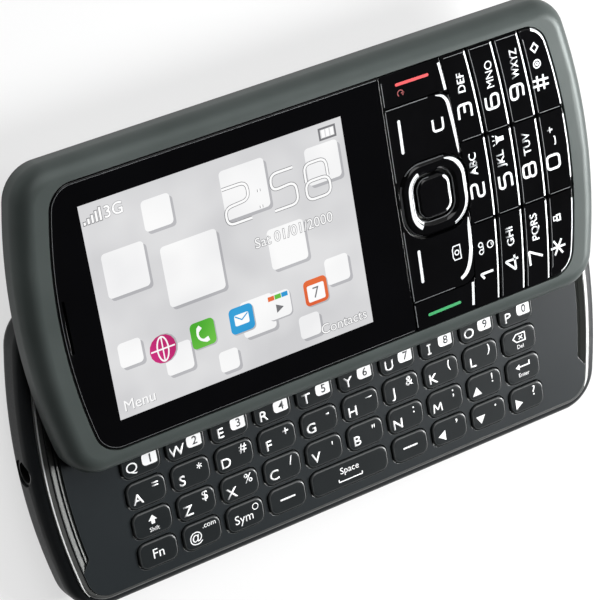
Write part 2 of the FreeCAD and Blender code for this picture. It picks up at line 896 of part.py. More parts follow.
def base_screws():
    screws = []
    shank = screw_length - screw_head_height
    for x, y in screw_places():
        screws.append(screw(x, y, screw_head_z, screw_head_radius, screw_head_height, screw_radius, shank))
    return Part.makeCompound(screws)


# ---- slide mechanism ----
def rail_plate_limits(gap):
    half_length = rail_x + rail_plate_overhang + gap
    reach = rail_plate_margin + gap
    return -half_length, half_length, rail_front_y - reach, rail_rear_y + reach


def rail_plate_pocket():
    x_low, x_high, y_low, y_high = rail_plate_limits(rail_plate_gap)
    return block(x_low, x_high, y_low, y_high, deck_top - rail_plate_thickness, deck_top)


def rail_plate():
    x_low, x_high, y_low, y_high = rail_plate_limits(0)
    sheet_low = deck_top - rail_plate_thickness
    sheet = block(x_low, x_high, y_low, y_high, sheet_low, deck_top)
    sheet = sheet.makeChamfer(rail_plate_corner_cut, upright_edges(sheet))
    pieces = [sheet, post(base_pin_x, base_pin_y, spring_pin_radius, deck_top, spring_top())]
    for side in (-1, 1):
        inner_x = side * (rail_x - rail_web / 2)
        web_x = side * (rail_x + rail_web / 2)
        hook_x = side * (rail_x + rail_web / 2 + rail_flange_width)
        for outer_x, low in ((web_x, deck_top), (hook_x, rail_flange_low)):
            left = min(inner_x, outer_x)
            right = max(inner_x, outer_x)
            pieces.append(block(left, right, rail_front_y, rail_rear_y, low, rail_flange_top))
    plate = fuse_all(pieces)
    # Openings lighten the sheet between the rails, and a slit lets the flexible circuit through.
    width = y_high - y_low - 2 * rail_window_margin
    y_middle = (y_low + y_high) / 2
    cuts = [flex_slit(flex_base_y, sheet_low, deck_top)]
    for x in rail_window_places:
        cuts.append(centred_block(x, y_middle, rail_window_length, width, sheet_low, deck_top))
    return plate.cut(cuts)


def flex_slit(y, z_low, z_high):
    return centred_block(flex_x, y, flex_width + flex_slit_gap, flex_slit_width, z_low, z_high)


def slot_limits():
    # The rail's path as the slider sees it, from open to closed.
    return rail_front_y - slider_travel - slot_end_play, rail_rear_y + slot_end_play


def slide_plate():
    half_length = rail_x + slide_plate_overhang
    half_width = slide_plate_half_width
    plate = centred_block(0, slider_y, 2 * half_length, 2 * half_width, slider_low, slide_plate_top)
    front, rear = slot_limits()
    slot_y = slider_y + (front + rear) / 2
    slot_width = rail_web + 2 * rail_side_play
    length = rear - front
    cuts = []
    for side in (-1, 1):
        cuts.append(centred_block(side * rail_x, slot_y, slot_width, length, slider_low, slide_plate_top))
    cuts.append(spring_recess(slider_low, slide_plate_top))
    cuts.append(flex_recess(slider_low, slide_plate_top))
    return plate.cut(cuts)


def spring_recess(z_low, z_high):
    x_low = slider_pin_x - spring_recess_margin
    x_high = base_pin_x + spring_recess_margin
    half_width = slider_travel / 2 + spring_recess_margin
    return block(x_low, x_high, slider_y - half_width, slider_y + half_width, z_low, z_high)


def flex_recess(z_low, z_high):
    half_width = flex_width / 2 + flex_recess_gap
    y_low = flex_loop_y - flex_recess_gap
    y_high = slider_y + flex_slider_y + flex_slit_width / 2
    return block(flex_x - half_width, flex_x + half_width, y_low, y_high, z_low, z_high)


def spring_top():
    return spring_low() + 2 * spring_wire


def spring_low():
    return deck_top + flex_lift


def assist_spring():
    # Wire spring that snaps over centre: an eye on each pin and one coil between them.
    base_pin = (base_pin_x, base_pin_y)
    slider_pin = (slider_pin_x, slider_y)
    coil = (spring_coil_x, base_pin_y + spring_coil_offset)
    low = spring_low()
    middle = low + spring_wire
    high = low + 2 * spring_wire
    eye_radius = spring_pin_radius + spring_pin_play
    pieces = [
        wire_eye(base_pin, eye_radius, low, middle),
        wire_eye(slider_pin, eye_radius, middle, high),
        wire_eye(coil, spring_coil_radius - spring_wire, low, high),
        leg_between(base_pin, coil, eye_radius, low, middle),
        leg_between(slider_pin, coil, eye_radius, middle, high),
    ]
    return fuse_all(pieces)


def leg_between(pin, coil, eye_radius, z_low, z_high):
    # Runs from the eye's rim to the coil's rim, tangent enough to read as one wire.
    distance = math.hypot(coil[0] - pin[0], coil[1] - pin[1])
    ux = (coil[0] - pin[0]) / distance
    uy = (coil[1] - pin[1]) / distance
    near = eye_radius + spring_wire / 2
    far = distance - spring_coil_radius + spring_wire / 2
    start = (pin[0] + ux * near, pin[1] + uy * near)
    end = (pin[0] + ux * far, pin[1] + uy * far)
    return bar_between(start, end, spring_wire, z_low, z_high)


def slide_flex():
    # Flat ribbon: up out of the deck, forward under the slider, round a loop and back into the tray.
    lower = deck_top + flex_lift
    upper = spring_recess_top - flex_lift
    radius = (upper - lower) / 2
    loop_y = flex_loop_y + radius
    slider_entry = slider_y + flex_slider_y
    left = flex_x - flex_width / 2
    right = flex_x + flex_width / 2
    run_low = block(left, right, loop_y, flex_base_y, lower, lower + flex_thickness)
    run_high = block(left, right, loop_y, slider_entry, upper - flex_thickness, upper)
    axis = Vector(left, loop_y, lower + radius)
    loop = Part.makeCylinder(radius, flex_width, axis, Vector(1, 0, 0))
    loop = loop.cut(Part.makeCylinder(radius - flex_thickness, flex_width, axis, Vector(1, 0, 0)))
    loop = loop.common(block(left, right, flex_loop_y, loop_y, lower, upper))
    thick = flex_thickness
    drop = centred_block(flex_x, flex_base_y, flex_width, thick, board_top, lower + thick)
    rise = centred_block(flex_x, slider_entry, flex_width, thick, upper - thick, pad_board_low)
    return fuse_all([run_low, run_high, loop, drop, rise])


# ---- slider pieces ----
def end_reach(outline, y):
    # How far the bowed end stands from the middle, this far off the centre line.
    return outline.half_length - outline.end_radius + math.sqrt(outline.end_radius**2 - y**2)


def slider_screw_places():
    y = slider_cavity_outline.half_width - slider_screw_side_inset
    x = end_reach(slider_cavity_outline, y) - slider_screw_end_inset
    return [(sx * x, slider_y + sy * y) for sx in (-1, 1) for sy in (-1, 1)]


slider_boss_radius = slider_screw_radius + screw_play + slider_boss_wall


def slider_bezel():
    body = bowed_plate(slider_outline, tray_edge_top, slider_top, slider_y)
    body = body.makeFillet(slider_top_round, level_edges(body, slider_top))
    cuts = [
        bowed_plate(slider_cavity_outline, tray_edge_top, face_rim_low, slider_y),
        window_ledge_opening(),
        bowed_plate(face_opening, window_low, slider_top, slider_y),
        pad_opening(),
    ]
    body = body.cut(cuts)
    bosses = []
    for x, y in slider_screw_places():
        boss = faceted_post(x, y, slider_boss_radius, tray_top, face_rim_low)
        hole_top = slider_screw_top + slider_screw_end_play
        bosses.append(boss.cut(faceted_post(x, y, slider_screw_radius + screw_play, tray_top, hole_top)))
    return fuse_all([body] + bosses)


def window_ledge_opening():
    opening = bowed_plate(inset(face_opening, window_ledge), face_rim_low, window_low, slider_y)
    return opening.common(face_side(-slider_length, window_right - window_ledge))


def pad_opening():
    opening = bowed_plate(face_opening, face_rim_low, window_low, slider_y)
    return opening.common(face_side(window_right, slider_length))


def face_side(x_low, x_high):
    # The stretch of the slider between two places along its length.
    return block(x_low, x_high, slider_y - slider_width, slider_y + slider_width, 0, pad_key_top)


def slider_tray():
    edge = bowed_plate(slider_outline, slider_low, tray_edge_top, slider_y)
    edge = edge.makeChamfer(slider_bottom_bevel, level_edges(edge, slider_low))
    plateau = bowed_plate(inset(slider_cavity_outline, fit_gap), tray_edge_top, tray_top, slider_y)
    posts = [faceted_post(x, y, pad_post_radius, tray_top, pad_board_low) for x, y in pad_post_places()]
    tray = fuse_all([edge, plateau] + posts)
    half_length = rail_x + slide_plate_overhang + slide_plate_gap
    half_width = slide_plate_half_width + slide_plate_gap
    cuts = [centred_block(0, slider_y, 2 * half_length, 2 * half_width, slider_low, slide_plate_top)]
    front, rear = slot_limits()
    for side in (-1, 1):
        inner_x = side * (rail_x - rail_web / 2 - rail_flange_play)
        outer_x = side * (rail_x + rail_web / 2 + rail_flange_width + rail_flange_play)
        left = min(inner_x, outer_x)
        right = max(inner_x, outer_x)
        cuts.append(block(left, right, slider_y + front, slider_y + rear, slide_plate_top, rail_groove_top))
    cuts.append(spring_recess(slide_plate_top, spring_recess_top))
    cuts.append(flex_recess(slide_plate_top, spring_recess_top))
    cuts.append(flex_slit(slider_y + flex_slider_y, slide_plate_top, tray_top))
    head_top = slider_screw_low + slider_screw_head_height
    for x, y in slider_screw_places():
        cuts.append(faceted_post(x, y, slider_screw_head_radius + screw_head_play, slider_low, head_top))
        cuts.append(faceted_post(x, y, slider_screw_radius + screw_play, slider_low, tray_top))
    tray = tray.cut(cuts)
    pin = post(slider_pin_x, slider_y, spring_pin_radius, spring_low() + spring_wire, spring_recess_top)
    return fuse_all([tray, pin])


def pad_post_places():
    x_low = pad_board_left + pad_post_inset
    x_high = slider_cavity_outline.half_length - slider_outline.corner - pad_post_inset
    y = slider_cavity_outline.half_width - pad_post_inset
    return [(x, slider_y + side * y) for x in (x_low, x_high) for side in (-1, 1)]


def display_window():
    low = window_low
    glass = bowed_plate(face_outline, low, slider_top, slider_y)
    glass = glass.makeChamfer(window_bevel, level_edges(glass, slider_top))
    glass = glass.common(face_side(-slider_length, window_right))
    slot_width = earpiece_slot_width
    slot = centred_block(earpiece_slot_x, slider_y, slot_width, earpiece_slot_length, low, slider_top)
    return glass.cut(slot)


def display_frame():
    # A folded sheet tub with two openings in its floor.
    low = tray_top
    floor = low + frame_sheet
    high = floor + frame_lip_height
    inner_length = panel_length + 2 * frame_side_gap
    inner_width = panel_width + 2 * frame_side_gap
    length = inner_length + 2 * frame_sheet
    width = inner_width + 2 * frame_sheet
    tub = centred_block(display_x, slider_y, length, width, low, high)
    cuts = [centred_block(display_x, slider_y, inner_length, inner_width, floor, high)]
    opening_length = panel_length / 2 - 2 * frame_floor_margin
    opening_width = panel_width - 2 * frame_floor_margin
    for side in (-1, 1):
        x = display_x + side * panel_length / 4
        cuts.append(centred_block(x, slider_y, opening_length, opening_width, low, floor))
    return tub.cut(cuts)


def display_panel():
    low = tray_top + frame_sheet
    panel = centred_block(display_x, slider_y, panel_length, panel_width, low, low + panel_thickness)
    return panel.makeChamfer(0.2, level_edges(panel, low + panel_thickness))


def earpiece():
    high = face_rim_low - earpiece_gap
    low = high - earpiece_height
    return cut_corner_block(
        earpiece_slot_x, slider_y, earpiece_width, earpiece_length, earpiece_corner_cut, low, high
    )


def pad_board_outline(z_low, z_high, left):
    board = bowed_plate(inset(slider_cavity_outline, pad_board_margin), z_low, z_high, slider_y)
    board = board.common(face_side(left, slider_length))
    corners = []
    for x, y in slider_screw_places():
        corners.append(faceted_post(x, y, slider_boss_radius + board_edge_gap, z_low, z_high))
    return board.cut(corners)


def keypad_board():
    return pad_board_outline(pad_board_low, pad_mat_low, pad_board_left)


def keypad_mat():
    web = bowed_plate(inset(pad_outline, pad_mat_inset), pad_mat_low, pad_mat_top, slider_y)
    web = web.common(face_side(window_right, slider_length))
    places = [pad_key_centre(row, column) for row in range(pad_row_count) for column in range(3)]
    places.append((nav_x, pad_centre_y))
    for side in (-1, 1):
        places.append((nav_x, pad_centre_y + side * (nav_width / 2 + function_divider) / 2))
        places.append((nav_x, pad_centre_y + side * (function_divider + face_width / 2) / 2))
    size = pad_mat_pad_size
    pieces = [web]
    for x, y in places:
        pieces.append(centred_block(x, y, size, size, pad_mat_top, pad_mat_pad_top))
    # Two short ridges carry the rocker seat and let it tip.
    for side in (-1, 1):
        x = nav_x + side * (nav_length / 2 - nav_seat_margin - nav_ridge_length / 2)
        ridge_top = nav_seat_low - nav_ridge_gap
        pieces.append(
            centred_block(x, pad_centre_y, nav_ridge_length, nav_ridge_width, pad_mat_top, ridge_top)
        )
    return fuse_all(pieces)


def pad_key_centre(row, column):
    x = pad_first_edge + (row + 0.5) * pad_row_pitch
    spread = pad_column_half + (face_width / 2 - pad_column_half) / 2
    return x, pad_centre_y + (column - 1) * spread


def row_cylinder(edge, extra):
    # Everything left of one curved row edge.
    radius = pad_row_bow_radius
    centre = Vector(pad_first_edge + edge * pad_row_pitch - radius, pad_centre_y, pad_key_low)
    return Part.makeCylinder(radius + extra, pad_key_height, centre)


def pad_field():
    field = bowed_plate(pad_outline, pad_key_low, pad_key_top, slider_y)
    left = window_right + pad_left_gap
    return field.common(face_side(left, slider_length))


def nav_blank(extra, z_low, z_high):
    length = nav_length + 2 * extra
    width = nav_width + 2 * extra
    return rounded_block(nav_x, pad_centre_y, length, width, nav_corner + extra, z_low, z_high)


def right_top_edges(shape):
    edges = level_edges(shape, pad_key_top)
    reach = max(edge.CenterOfMass.x for edge in edges)
    return [edge for edge in edges if edge.CenterOfMass.x > reach - 0.6 and edge.Length > 2]


def number_key(row, column):
    y_limits = [-face_width, -pad_column_half, pad_column_half, face_width]
    y_low = pad_centre_y + y_limits[column] + pad_gap / 2
    y_high = pad_centre_y + y_limits[column + 1] - pad_gap / 2
    key = pad_field().common(block(0, slider_length, y_low, y_high, pad_key_low, pad_key_top))
    if row < pad_row_count - 1:
        key = key.common(row_cylinder(row + 1, -pad_gap / 2))
    key = key.cut([row_cylinder(row, pad_gap / 2), nav_blank(nav_gap, pad_key_low, pad_key_top)])
    return key.makeChamfer(pad_edge_bevel, right_top_edges(key))


def function_blank(side, extra):
    # One of the two pieces above and below the ring, with one rounded outer corner.
    near = pad_centre_y + side * pad_gap / 2
    far = pad_centre_y + side * (function_divider + extra)
    left = window_right + pad_left_gap
    right = pad_first_edge - pad_gap / 2 + extra
    blank = block(left - extra, right, min(near, far), max(near, far), pad_key_low, pad_key_top)
    corner_edges = []
    for edge in upright_edges(blank):
        if edge.CenterOfMass.x > right - 0.1 and abs(edge.CenterOfMass.y - far) < 0.1:
            corner_edges.append(edge)
    return blank.makeFillet(function_corner, corner_edges)


def function_piece(side):
    piece = function_blank(side, 0).common(row_cylinder(0, -pad_gap / 2))
    return piece.common(pad_field()).cut(nav_blank(nav_gap, pad_key_low, pad_key_top))


def call_key(side):
    near = pad_centre_y + side * (function_divider - function_corner)
    far = pad_centre_y + side * face_width
    key = pad_field().common(
        block(0, slider_length, min(near, far), max(near, far), pad_key_low, pad_key_top)
    )
    key = key.common(row_cylinder(0, -pad_gap / 2))
    return key.cut(function_blank(side, pad_gap))


def nav_ring():
    ring = nav_blank(0, nav_ring_low, nav_ring_top)
    ring = ring.makeChamfer(nav_bevel_outer, level_edges(ring, nav_ring_top))
    corner = nav_hole_corner
    hole = rounded_block(
        nav_x, pad_centre_y, nav_hole_length, nav_hole_width, corner, nav_ring_low, nav_ring_top
    )
    ring = ring.cut(hole)
    inner = []
    for edge in level_edges(ring, nav_ring_top):
        box = edge.BoundBox
        near_x = max(abs(box.XMin - nav_x), abs(box.XMax - nav_x)) < nav_hole_length / 2 + 0.01
        near_y = max(abs(box.YMin - pad_centre_y), abs(box.YMax - pad_centre_y)) < nav_hole_width / 2 + 0.01
        if near_x and near_y:
            inner.append(edge)
    return ring.makeChamfer(nav_bevel_inner, inner)


def nav_seat():
    # Thin frame under the ring. It tips one way on the mat and the ring tips the other way on it.
    length = nav_length - 2 * nav_seat_margin
    width = nav_width - 2 * nav_seat_margin
    cut = nav_seat_corner_cut
    seat = cut_corner_block(nav_x, pad_centre_y, length, width, cut, nav_seat_low, nav_seat_top)
    opening = centred_block(
        nav_x, pad_centre_y, nav_hole_length, nav_hole_width, nav_seat_low, nav_seat_top
    )
    pieces = [seat.cut(opening)]
    for side in (-1, 1):
        y = pad_centre_y + side * (width - nav_ridge_length) / 2
        ridge_top = nav_seat_top + nav_ridge_height
        pieces.append(centred_block(nav_x, y, nav_ridge_width, nav_ridge_length, nav_seat_top, ridge_top))
    return fuse_all(pieces)


def ok_key():
    length = nav_hole_length - 2 * ok_gap
    width = nav_hole_width - 2 * ok_gap
    corner = nav_hole_corner - ok_gap
    key = rounded_block(nav_x, pad_centre_y, length, width, corner, pad_key_low, pad_key_top)
    return key.makeChamfer(ok_bevel, level_edges(key, pad_key_top))


def slider_screws():
    screws = []
    head = slider_screw_head_height
    shank = slider_screw_length - head
    for x, y in slider_screw_places():
        screws.append(
            screw(x, y, slider_screw_low, slider_screw_head_radius, head, slider_screw_radius, shank)
        )
    return Part.makeCompound(screws)


# ---- build every node ----
nodes = {
    "base_housing": base_housing(),
    "battery_cover": battery_cover(),
    "keyboard_deck": keyboard_deck(),
    "trim_ring": trim_ring(),
    "keyboard_mat": keyboard_mat(),
    "dome_sheet": dome_sheet(),
    "main_board": main_board(),
    "battery": battery(),
    "camera_module": camera_module(),
    "camera_window": camera_window(),
    "loudspeaker": loudspeaker(),
    "headphone_jack": headphone_jack(),
    "usb_socket": usb_socket(),
    "card_holder": card_holder(),
    "vibration_motor": vibration_motor(),
    "antenna": antenna(),
    "volume_key": side_key(volume_x, volume_length, -1),
    "camera_key": side_key(camera_key_x, camera_key_length, 1),
    "base_screws": base_screws(),
    "rail_plate": rail_plate(),
    "assist_spring": assist_spring(),
    "slide_flex": slide_flex(),
    "slide_plate": slide_plate(),
    "slider_bezel": slider_bezel(),
    "slider_tray": slider_tray(),
    "slider_screws": slider_screws(),
    "display_window": display_window(),
    "display_frame": display_frame(),
    "display_panel": display_panel(),
    "earpiece": earpiece(),
    "keypad_board": keypad_board(),
    "keypad_mat": keypad_mat(),
    "nav_seat": nav_seat(),
    "nav_ring": nav_ring(),
    "ok_key": ok_key(),
    "clear_key": function_piece(1),
    "photo_key": function_piece(-1),
    "end_key": call_key(1),
    "send_key": call_key(-1),
}
for name, group in keyboard_groups.items():
    nodes[name] = Part.makeCompound([key_cap(key) for key in group])

pad_names = [
    ["key_1", "key_2", "key_3"],
    ["key_4", "key_5", "key_6"],
    ["key_7", "key_8", "key_9"],
    ["key_star", "key_0", "key_hash"],
]
for row, names in enumerate(pad_names):
    for column, name in enumerate(names):
        nodes[name] = number_key(row, column)

os.makedirs("parts", exist_ok=True)
for name, shape in nodes.items():
    shape.exportStep("parts/" + name + ".step")
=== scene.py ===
import json
import math
from collections import defaultdict
import bpy
from mathutils import Matrix, Vector

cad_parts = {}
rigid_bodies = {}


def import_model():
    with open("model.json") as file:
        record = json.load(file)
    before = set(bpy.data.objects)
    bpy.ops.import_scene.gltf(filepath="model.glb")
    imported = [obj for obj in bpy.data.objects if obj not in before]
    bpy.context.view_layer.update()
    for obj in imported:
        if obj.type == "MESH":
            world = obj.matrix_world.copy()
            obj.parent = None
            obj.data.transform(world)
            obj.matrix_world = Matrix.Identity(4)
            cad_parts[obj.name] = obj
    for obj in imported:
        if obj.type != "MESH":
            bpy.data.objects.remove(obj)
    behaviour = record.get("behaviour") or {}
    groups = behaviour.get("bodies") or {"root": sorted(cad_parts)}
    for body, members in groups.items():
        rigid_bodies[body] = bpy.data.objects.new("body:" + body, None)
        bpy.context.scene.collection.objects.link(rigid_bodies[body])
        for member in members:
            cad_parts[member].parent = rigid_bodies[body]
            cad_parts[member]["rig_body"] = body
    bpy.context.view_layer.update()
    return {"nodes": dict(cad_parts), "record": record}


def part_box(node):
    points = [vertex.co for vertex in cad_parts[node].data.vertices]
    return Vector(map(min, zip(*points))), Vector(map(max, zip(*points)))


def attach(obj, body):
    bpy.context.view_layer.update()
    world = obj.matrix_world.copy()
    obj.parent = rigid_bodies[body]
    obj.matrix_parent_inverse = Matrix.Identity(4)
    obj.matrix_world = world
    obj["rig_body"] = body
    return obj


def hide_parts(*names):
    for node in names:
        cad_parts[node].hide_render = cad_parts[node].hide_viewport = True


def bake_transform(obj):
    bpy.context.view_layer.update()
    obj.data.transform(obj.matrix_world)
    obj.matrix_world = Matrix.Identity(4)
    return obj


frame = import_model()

# Side-sliding phone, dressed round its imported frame. X runs along the phone, +Y is the way the
# display half slides open and +Z points out of the keys.

mm = 0.001
tiny = 0.002 * mm
nodes = frame["nodes"]
nodeBody = {name: node["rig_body"] for name, node in nodes.items()}
slotOf = {part["node"]: part["material_slot"] for part in frame["record"]["subparts"]}


def inMm(table):
    # Numbers with a decimal point are sizes in millimetres; whole ones are counts and angles.
    if isinstance(table, dict):
        return {key: inMm(part) for key, part in table.items()}
    if isinstance(table, (list, tuple)):
        return type(table)(inMm(part) for part in table)
    return table * mm if isinstance(table, float) else table


# Small tools for modelling by operator.
def deselectAll():
    active = bpy.context.view_layer.objects.active
    if active and active.mode != "OBJECT":
        bpy.ops.object.mode_set(mode="OBJECT")
    bpy.ops.object.select_all(action="DESELECT")


def makeActive(piece):
    deselectAll()
    piece.select_set(True)
    bpy.context.view_layer.objects.active = piece


def selectParts(piece, kind, test):
    # kind is EDGE or FACE; test gets the corner points of each.
    makeActive(piece)
    bpy.context.tool_settings.mesh_select_mode = (False, kind == "EDGE", kind == "FACE")
    mesh = piece.data
    for group in (mesh.vertices, mesh.edges, mesh.polygons):
        group.foreach_set("select", [False] * len(group))
    for part in mesh.edges if kind == "EDGE" else mesh.polygons:
        part.select = test(*[mesh.vertices[index].co for index in part.vertices])
    bpy.ops.object.mode_set(mode="EDIT")


def finishEdit():
    bpy.ops.object.mode_set(mode="OBJECT")


def editAll(piece):
    makeActive(piece)
    bpy.ops.object.mode_set(mode="EDIT")
    bpy.ops.mesh.select_all(action="SELECT")


def addModifier(piece, kind, **settings):
    makeActive(piece)
    modifier = piece.modifiers.new(kind.title(), kind)
    for key, value in settings.items():
        setattr(modifier, key, value)
    bpy.ops.object.modifier_apply(modifier=modifier.name)


def smooth(piece, degrees=35):
    makeActive(piece)
    bpy.ops.object.shade_smooth_by_angle(angle=math.radians(degrees))
    addModifier(piece, "WEIGHTED_NORMAL", keep_sharp=True)


def softenEdges(piece, width, segments=2, degrees=35):
    limits = {"limit_method": "ANGLE", "angle_limit": math.radians(degrees), "use_clamp_overlap": True}
    addModifier(piece, "BEVEL", width=width, segments=segments, **limits)
    smooth(piece, degrees)


def roundEdges(piece, width, segments, test):
    selectParts(piece, "EDGE", test)
    bpy.ops.mesh.bevel(offset=width, segments=segments, affect="EDGES")
    finishEdit()


def drawUp(sheet, height, merge=tiny / 4):
    editAll(sheet)
    if merge:
        bpy.ops.mesh.remove_doubles(threshold=merge)
    bpy.ops.mesh.extrude_region_move(TRANSFORM_OT_translate={"value": (0, 0, height)})
    bpy.ops.mesh.select_all(action="SELECT")
    bpy.ops.mesh.normals_make_consistent(inside=False)
    finishEdit()


def shift(piece, x, y, z=0.0):
    piece.data.transform(Matrix.Translation((x, y, z)))


def turnBy(piece, radians):
    piece.data.transform(Matrix.Rotation(radians, 4, "Z"))


def addBlock(low, high):
    deselectAll()
    middle = [(a + b) / 2 for a, b in zip(low, high)]
    size = [b - a for a, b in zip(low, high)]
    bpy.ops.mesh.primitive_cube_add(size=1, location=middle, scale=size)
    bpy.ops.object.transform_apply(location=True, rotation=True, scale=True)
    return bpy.context.object


def addRoundBlock(x, y, length, width, zLow, zHigh, corner, segments=6):
    low = (x - length / 2, y - width / 2, zLow)
    block = addBlock(low, (x + length / 2, y + width / 2, zHigh))
    upright = lambda a, b: abs(a.x - b.x) < tiny and abs(a.y - b.y) < tiny
    roundEdges(block, corner, segments, upright)
    return block


def combine(piece, cutter, operation="DIFFERENCE"):
    addModifier(piece, "BOOLEAN", operation=operation, object=cutter, solver="EXACT")
    bpy.data.objects.remove(cutter)


def joinPieces(pieces):
    deselectAll()
    for piece in pieces:
        piece.select_set(True)
    bpy.context.view_layer.objects.active = pieces[0]
    if len(pieces) > 1:
        bpy.ops.object.join()
    return bpy.context.object


def setLook(piece, look):
    piece.data.materials.clear()
    piece.data.materials.append(materials[look])


def fit(name, pieces, body, look, replaces=()):
    # Last call for a piece: its name and finish, the body it moves with and what it stands for.
    piece = joinPieces(pieces)
    piece.name = piece.data.name = name
    setLook(piece, look)
    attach(piece, body)
    if replaces:
        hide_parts(*replaces)
    return piece


def paintLeaningHighlight(piece, look, lowest=0.15, highest=0.97):
    # A lighter second finish on the faces that lean, a painted highlight on an edge that catches the
    # light.
    piece.data.materials.append(materials[look])
    for face in piece.data.polygons:
        if lowest < face.normal.z < highest:
            face.material_index = 1


def outlineLoop(halfLength, halfWidth, endRadius, corner, arcSteps=10, endSteps=24):
    # Straight long sides, shallow arcs at the ends and round corners that run into both.
    bowX = halfLength - endRadius
    cornerY = halfWidth - corner
    cornerX = bowX + math.sqrt((endRadius - corner) ** 2 - cornerY**2)
    turn = math.atan2(cornerY, cornerX - bowX)
    quarter = []
    for step in range(endSteps // 2):
        angle = turn * step / (endSteps // 2)
        quarter.append((bowX + endRadius * math.cos(angle), endRadius * math.sin(angle)))
    for step in range(arcSteps + 1):
        angle = turn + (math.pi / 2 - turn) * step / arcSteps
        quarter.append((cornerX + corner * math.cos(angle), cornerY + corner * math.sin(angle)))
    top = quarter + [(-x, y) for x, y in reversed(quarter)]
    return top + [(x, -y) for x, y in reversed(top)][1:-1]


def addBowedPlate(outline, zLow, zHigh):
    # A filled circle whose rim is set on the outline, then drawn up to its thickness.
    points = outlineLoop(*outline)
    deselectAll()
    bpy.ops.mesh.primitive_circle_add(vertices=len(points), radius=outline[1], fill_type="NGON")
    plate = bpy.context.object
    for vertex, point in zip(plate.data.vertices, points):
        vertex.co = (*point, zLow)
    drawUp(plate, zHigh - zLow, 0.0)
    return plate


def camelName(nodeName):
    first, *rest = nodeName.split("_")
    return first + "".join(word.title() for word in rest)


def cleanCopy(nodeName):
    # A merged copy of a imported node, flat faces rejoined, ready for soft edges.
    deselectAll()
    copy = bpy.data.objects.new(camelName(nodeName), nodes[nodeName].data.copy())
    bpy.context.collection.objects.link(copy)
    editAll(copy)
    bpy.ops.mesh.remove_doubles(threshold=tiny)
    bpy.ops.mesh.dissolve_limited(angle_limit=math.radians(0.4))
    finishEdit()
    if copy.data.has_custom_normals:
        bpy.ops.mesh.customdata_custom_splitnormals_clear()
    return copy


# Finishes. An input of a node takes a plain value or the socket that feeds it.
def feed(tree, node, values):
    for key, value in values.items():
        if isinstance(value, bpy.types.NodeSocket):
            tree.links.new(value, node.inputs[key])
        else:
            node.inputs[key].default_value = value


def addNode(tree, kind, output, values=(), **settings):
    node = tree.nodes.new("ShaderNode" + kind)
    for key, value in settings.items():
        setattr(node, key, value)
    feed(tree, node, dict(values))
    return node.outputs[output]


def startMaterial(name):
    material = bpy.data.materials.new(name)
    material.use_nodes = True
    tree = material.node_tree
    return material, tree, tree.nodes["Principled BSDF"]


def mapped(tree, source, low, high, fromLow=0.3, fromHigh=0.7):
    # Most of a noise lies between the two values it is taken from.
    ends = {"From Min": fromLow, "From Max": fromHigh, "To Min": low, "To Max": high}
    return addNode(tree, "MapRange", "Result", {"Value": source, **ends})


patchScale = 90.0     # soft patches of the two tones, cycles per metre
cornerShare = 0.49    # of a short side that a rounded corner may take up
grainRelief = 0.02 * mm
secondTone = 1.15     # its brightness where a finish gives only one


def grainy(name, color, color2, rough, grain, bump, extras):
    # Two tones in soft patches, a fine grain in gloss and relief, all in the object's own space.
    material, tree, shader = startMaterial(name)
    fleck, spread = extras.get("fleck", 0.35), extras.get("spread", 0.05)
    place = addNode(tree, "TexCoord", "Object")
    stretch = extras.get("stretch", (1, 1, 1))
    stretched = addNode(tree, "Mapping", "Vector", {"Vector": place, "Scale": stretch})
    weave = {"Vector": stretched, "Scale": grain, "Detail": 3.0, "Roughness": 0.6}
    fine = addNode(tree, "TexNoise", "Fac", weave)
    patch = addNode(tree, "TexNoise", "Fac", {"Vector": place, "Scale": patchScale, "Detail": 2.0})
    amounts = {0: fine, 1: fleck, 2: mapped(tree, patch, 0.0, 1.0 - fleck)}
    amount = addNode(tree, "Math", "Value", amounts, operation="MULTIPLY_ADD")
    ends = {"A": (*color, 1), "B": (*(color2 or [part * secondTone for part in color]), 1)}
    tones = addNode(tree, "Mix", "Result", {"Factor": amount, **ends}, data_type="RGBA")
    relief = addNode(tree, "Bump", "Normal", {"Height": fine, "Strength": bump, "Distance": grainRelief})
    feed(tree, shader, {
        "Base Color": tones,
        "Roughness": mapped(tree, fine, rough - spread, rough + spread),
        "Normal": relief,
        "Metallic": extras.get("metal", 0.0),
        "Specular IOR Level": extras.get("specular", 0.5),
    })
    return material


